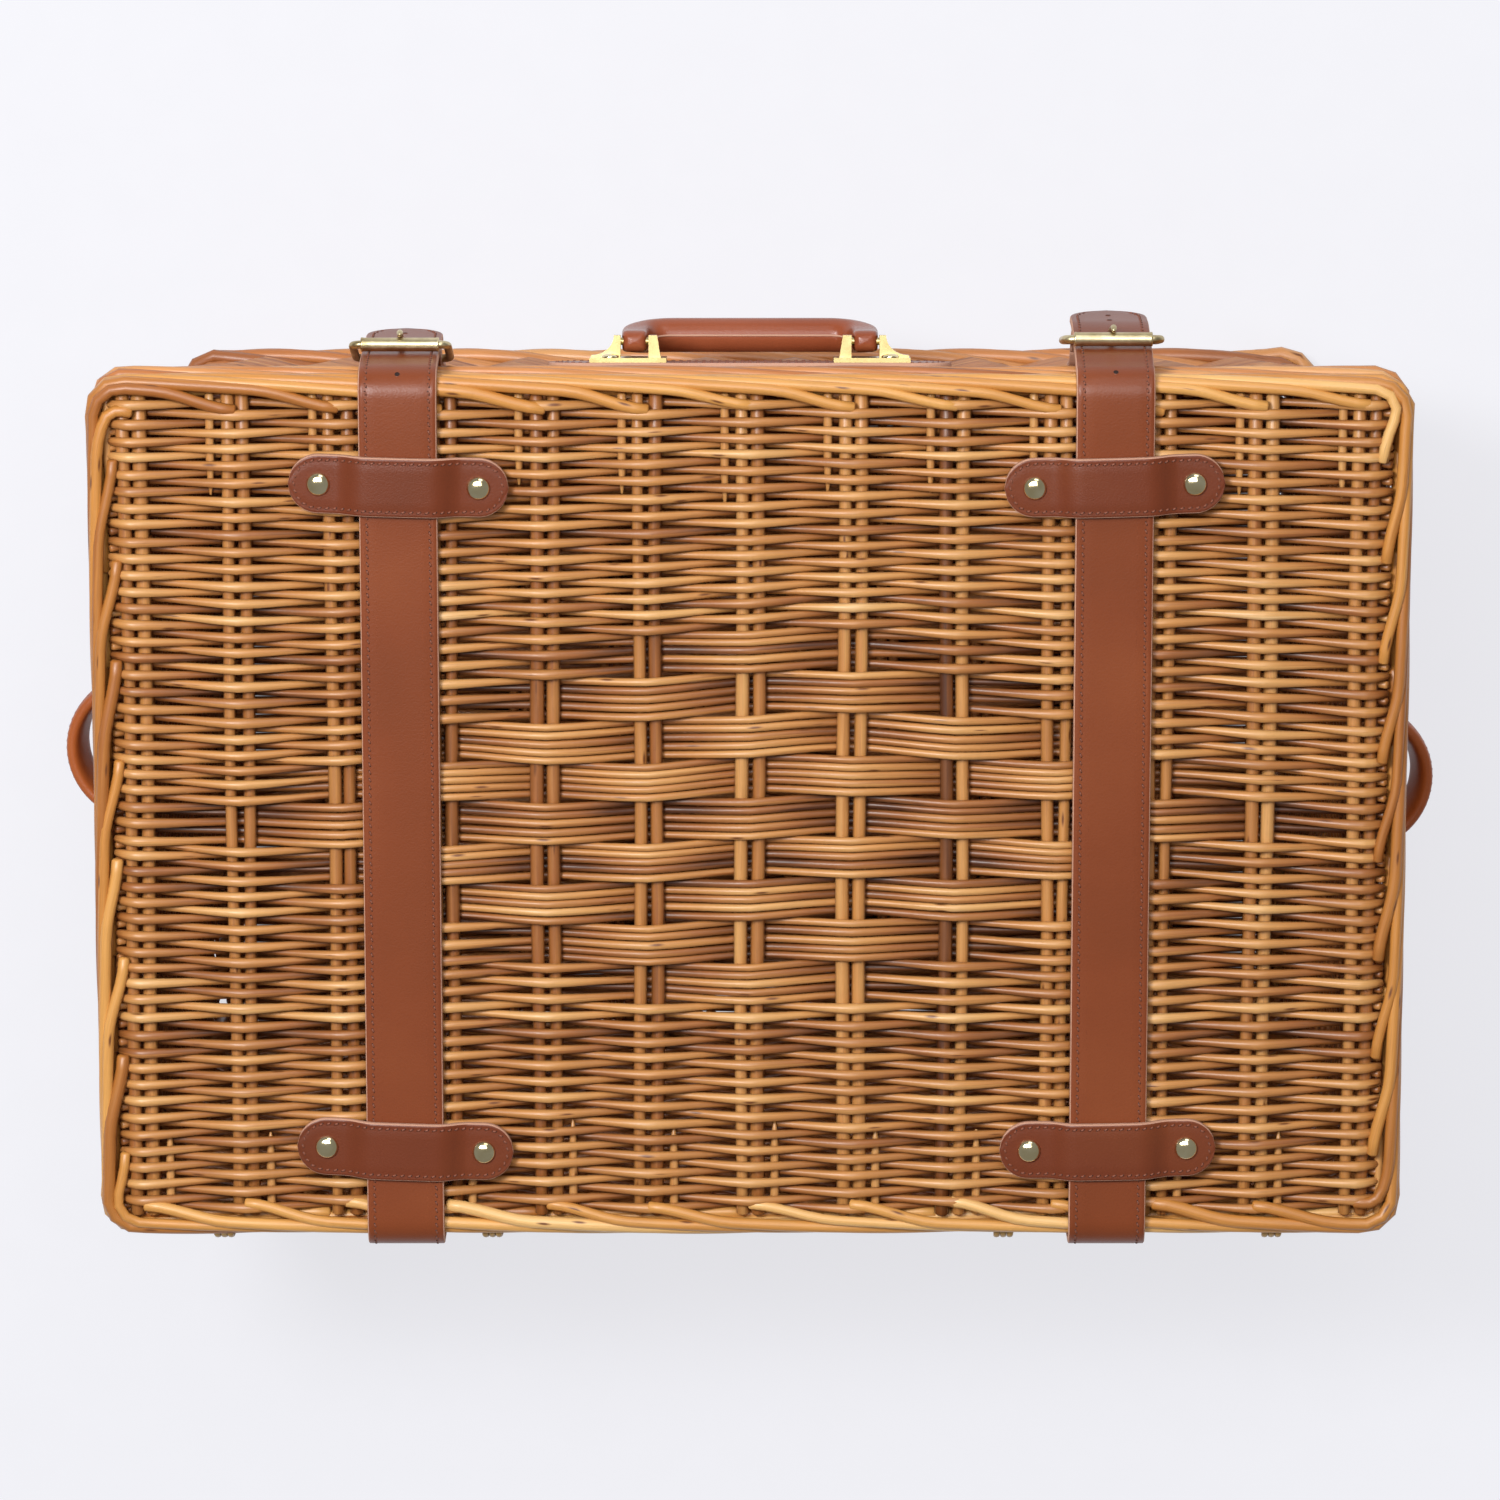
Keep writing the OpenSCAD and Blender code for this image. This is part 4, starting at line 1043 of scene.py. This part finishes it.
# The buckle's own strap: up the wall, split round the fixed bar, back down behind itself
def makeShortStrap(side):
    x, _, heel, _ = buckleFrame(side)
    low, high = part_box("short_strap_" + side)
    t, endR, inset = shortStraps["t"], shortStraps["endR"], shortStraps["stitchIn"]
    halfW = (high.x - low.x) / 2
    baseY = -wallHalf(low.z)[1] - shortStraps["off"]
    mid = buckles["wire"] + shortStraps["barGap"] + t / 2
    pts = [(baseY, low.z + 0.5 * mm), (baseY - slope * 26 * mm, low.z + 26 * mm),
           (heel[0] - 0.2 * mm, heel[1] - mid - 1.2 * mm)]
    s, line2 = smoothLine(pts, 1.5 * mm, 2)
    whole = s <= s[-1] - shortStraps["slotLow"]   # above this the strap is slotted for the prong
    slotted = line2[~whole]
    s, line2 = s[whole], line2[whole]
    line, normal, across = inPlane(line2, x, lambda normal: -normal[0, 1])
    widths = np.maximum(np.where(s < endR, stadiumHalf(s, noEnd, endR) * halfW / endR, halfW), 2 * mm)
    shape = newShape()
    addStrip(shape, line, normal, across, widths, t)
    for sign in (-1, 1):
        path = line + across * (sign * (widths - inset))[:, None] + normal * (t / 2 - 0.1 * mm)
        addStitches(shape, path[2:-1], normal[2:-1])
    slotHalf = shortStraps["slotHalf"]
    quarter = (halfW - slotHalf) / 2
    ringPts = [tuple(p) for p in np.concatenate([line2[-1:], slotted])] + arcPoints(heel, mid, -96, -366, 26)
    s, line2 = smoothLine(ringPts, 1.2 * mm, 1)
    for sign in (-1, 1):
        line, normal, across = inPlane(line2, x + sign * (slotHalf + quarter),
                                       lambda normal: np.dot(normal[5, 1:], line2[5] - heel))
        addStrip(shape, line, normal, across, quarter, t)
    makeMesh(shape, "buckle_strap_" + side, leatherSet, "basket", ["short_strap_" + side])


for side in ("left", "right"):
    makeBuckle(side)
    makeShortStrap(side)
print("buckles fitted")

wallOut = np.array((0, -math.cos(leanAngle), -math.sin(leanAngle)))
wallUp = np.array((0, -math.sin(leanAngle), math.cos(leanAngle)))
pinMid = np.array((0, *boxMid("handle_pin_left")[1:]))
handle = {
    "armW": 10 * mm, "armT": 8.7 * mm, "drop": 40 * mm, "half": 45.2 * mm, "bend": 13 * mm, "round": 6.1 * mm,
    "swell": 0.75 * mm, "bow": 1.4 * mm, "endLong": 3.2 * mm, "seamR": 0.45 * mm, "sides": 28,
    "arm": np.array((3.6, 2.2, 0, -4, -9, -14, -19, -23)) * mm,
}


# Point of the front wall from the handle pins: sideways, up the wall and out of it
def onFront(a, b, c):
    a, b, c = np.broadcast_arrays(a, b, c)
    return pinMid + a[..., None] * np.array((1.0, 0, 0)) + b[..., None] * wallUp + c[..., None] * wallOut


def makeGrip():
    h = handle
    bend, sides = h["bend"], h["sides"]
    pts = [(h["half"], b) for b in h["arm"]]
    pts += arcPoints((h["half"] - bend, bend - h["drop"]), bend, 0, -90, 9)
    pts += [(a, -h["drop"]) for a in np.linspace(h["half"] - bend - 4 * mm, 0, 12)]
    pts = np.array(pts + [(-a, b) for a, b in pts[-2::-1]])
    s = arcLengths(pts)
    near = np.minimum(s, s[-1] - s)
    toGrip = ease((near - 20 * mm) / (22 * mm))
    swell = ease((near - 24 * mm) / (28 * mm))
    endRound = np.sin(np.clip(near / h["endLong"], 0, 1) * math.pi / 2)
    halfA, halfB = (wide / 2 + (h["round"] - wide / 2) * toGrip + h["swell"] * swell
                    for wide in (h["armW"], h["armT"]))
    halfA = halfA * (0.55 + 0.45 * endRound)
    halfB = halfB * (0.35 + 0.65 * endRound)
    tangent = unit(np.gradient(pts, axis=0))
    co = np.zeros((len(pts), sides, 3))
    for i, ((a, b), (ta, tb)) in enumerate(zip(pts, tangent)):
        ca, cb = roundedSquare(sides, 5.5 - 3.5 * toGrip[i], halfA[i], halfB[i])
        co[i] = onFront(a + tb * ca, b - ta * ca, cb + h["bow"] * swell[i])
    shape = newShape()
    addGrid(shape, co, gridUv(s, np.linspace(0, 0.04, sides + 1)))
    # closing seam on the side towards the lid
    seam = co[6:-6, 0]
    addRod(shape, seam, unit(seam - co[6:-6].mean(1)), h["seamR"], sides=6, flat=0.7)
    shape["quadMat"][-1][:] = 1
    shape["caps"][-2:] = [(cap[0], 1) for cap in shape["caps"][-2:]]
    grip = makeMesh(shape, "handle_grip_cover", [gripLeather, rawEdge], "handle",
                    ["handle_grip", "handle_arm_left", "handle_arm_right"])
    smooth = grip.modifiers.new("round", "SUBSURF")
    smooth.levels = smooth.render_levels = 1


makeGrip()

# Leather patch under the handle and its brackets
patch = {"r": 15 * mm, "t": 2.5 * mm, "under": 10.5 * mm, "stitchIn": 3 * mm, "stitchT": 2.3 * mm}
patchLow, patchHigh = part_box("handle_patch")
s = np.linspace(0, patchHigh.x - patchLow.x, 180)
line = onFront(s - s[-1] / 2, 0.0, patch["t"] / 2 - patch["under"])
normal, across = (np.broadcast_to(axis, line.shape) for axis in (wallOut, wallUp))
shape = newShape()
addStrip(shape, line, normal, across, np.maximum(stadiumHalf(s, s[-1], patch["r"]), 0.6 * mm), patch["t"])
path, ups = insetLoop(line, normal, across, patch["r"], patch["stitchT"], patch["stitchIn"])
addStitches(shape, path, ups, closed=True)
makeMesh(shape, "handle_patch_leather", leatherSet, "basket", ["handle_patch"])

for node in ("handle_bracket_left", "handle_bracket_right", "handle_pin_left", "handle_pin_right"):
    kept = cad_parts[node]
    kept.data.materials.clear()
    kept.data.materials.append(polishedBrass)
    bevel = kept.modifiers.new("softEdges", "BEVEL")
    bevel.width = 0.5 * mm
    bevel.segments = 2
    bevel.limit_method = "ANGLE"
    bevel.angle_limit = math.radians(35)

bracketRivets = {"across": 7 * mm, "up": 9 * mm, "out": 4.3 * mm, "r": 3.4 * mm, "high": 1.7 * mm}
shape = newShape()
for side in ("left", "right"):
    centre = boxMid("handle_bracket_" + side)[0]
    a = centre + math.copysign(bracketRivets["across"], centre)
    for b in (-bracketRivets["up"], bracketRivets["up"]):
        at = onFront(a, b, bracketRivets["out"] - patch["under"])
        addDome(shape, at, wallOut, bracketRivets["r"], bracketRivets["high"])
makeMesh(shape, "bracket_rivet_caps", [capBrass], "basket", ["bracket_rivets"])

for name, strap, face, ups, off in (
        ("buckle_strap_rivet_caps", "short_strap_", -1, shortStraps["rivets"], shortStraps["rivetOut"]),
        ("back_strap_rivet_caps", "back_strap_", 1, (10 * mm, 28 * mm), 2.7 * mm)):
    shape = newShape()
    for side in ("left", "right"):
        low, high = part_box(strap + side)
        x = buckleFrame(side)[0] if face < 0 else (low.x + high.x) / 2
        for up in ups:
            z = low.z + up
            at = (x, face * (wallFace(z, 1) + off), z)
            addDome(shape, at, (0, face * math.cos(leanAngle), -math.sin(leanAngle)))
    makeMesh(shape, name, [capBrass], "basket", [strap + "rivets"])
print("handle fitted")

arch = {
    "r": 30 * mm, "t": 6 * mm, "rise": 2.3 * mm, "pitch": 40 * mm, "z": 100 * mm, "halfW": 12.5 * mm,
    "foot": 9 * mm, "flatT": 1.25 * mm, "padT": 1.75 * mm, "sides": 22, "stitchIn": 3.4 * mm,
    "stitchR": 0.26 * mm, "sunk": 0.15 * mm, "rivetOut": 2.5 * mm,
}


# A stitched strap arched over a hand's width, padded between its two flat feet
def makeEndHandle(side):
    sign = -1 if side == "left" else 1
    out = np.array((sign * math.cos(leanAngle), 0, -math.sin(leanAngle)))
    up = np.array((sign * math.sin(leanAngle), 0, math.cos(leanAngle)))
    along = np.array((0, 1.0, 0))
    origin = np.array((sign * wallFace(arch["z"], 0), boxMid("end_handle_" + side)[1], arch["z"]))
    mid = arch["r"] - arch["t"] / 2
    low = 1.3 * mm
    pts = [(-arch["pitch"] - arch["foot"], low), (-arch["pitch"] + 1 * mm, low),
           (-mid - 4.5 * mm, 1.6 * mm), (-mid - 1 * mm, 5 * mm)]
    feet = [(-a, b) for a, b in pts[::-1]]
    s, line2 = smoothLine(pts + arcPoints((0, arch["rise"]), mid, 165, 15, 15) + feet, 1.5 * mm, 2)
    pad = ease((np.minimum(s, s[-1] - s) - 20 * mm) / (18 * mm))
    line = origin + line2[:, :1] * along + line2[:, 1:] * out
    ahead = unit(np.gradient(line2, axis=0))
    normal = unit(-ahead[:, 1:] * along + ahead[:, :1] * out)
    width = np.minimum(np.maximum(stadiumHalf(s, s[-1], arch["halfW"]), 1 * mm), arch["halfW"])
    square = 6 - 3.0 * pad
    tHalf = arch["flatT"] + arch["padT"] * pad
    co = np.zeros((len(line), arch["sides"], 3))
    for i in range(len(line)):
        a, b = roundedSquare(arch["sides"], square[i], width[i], tHalf[i])
        co[i] = line[i] + a[:, None] * up + b[:, None] * normal[i]
    shape = newShape()
    addGrid(shape, co, gridUv(s, np.linspace(0, 0.06, arch["sides"] + 1)))
    keep = (s > straps["keep"]) & (s < s[-1] - straps["keep"])
    inner = np.maximum(width - arch["stitchIn"], 0.4 * mm)
    lift = tHalf * (1 - (inner / width) ** square) ** (1 / square) - arch["sunk"]
    for edge in (-1, 1):
        path = line + up * (edge * inner)[:, None] + normal * lift[:, None]
        addStitches(shape, path[keep], normal[keep], arch["stitchR"])
    piece = makeMesh(shape, "end_handle_arch_" + side, [archLeather, rawEdge, thread], "basket",
                     ["end_handle_" + side])
    return [(origin + along * d * arch["pitch"] + out * arch["rivetOut"], out) for d in (-1, 1)]


spots = makeEndHandle("left") + makeEndHandle("right")
shape = newShape()
for at, out in spots:
    addDome(shape, at, out)
makeMesh(shape, "end_handle_rivet_caps", [capBrass], "basket", ["end_handle_rivets"])

# Cane bound round the lid's back border and the rim; each turn is pulled in where it passes between them
rings = {
    "r": 9.6 * mm, "cane": 1.25 * mm, "xs": (-205, -100, 100, 205), "turns": 3, "spread": 2.6 * mm,
    "start": 2.5, "pull": 8.4 * mm,
}
ringMid = boxMid("hinge_rings")
shape = newShape()
for x in rings["xs"]:
    turn = np.linspace(0, 2 * math.pi * rings["turns"], 40 * rings["turns"])
    q = turn + rings["start"]
    ringR = rings["r"] - rings["pull"] * np.clip(np.cos(q), 0, 1) ** 0.6
    radial = np.stack([np.zeros(len(q)), np.cos(q), np.sin(q)], 1)
    co = np.array((0, *ringMid[1:])) + ringR[:, None] * radial
    co[:, 0] = x * mm + (turn / turn[-1] - 0.5) * rings["spread"] * rings["turns"]
    addRod(shape, co, radial, rings["cane"], sides=8, flat=0.6, toneAndShade=0.6)
makeMesh(shape, "hinge_cane_wraps", [splitCane], "basket", ["hinge_rings"])
print("hinges wrapped")
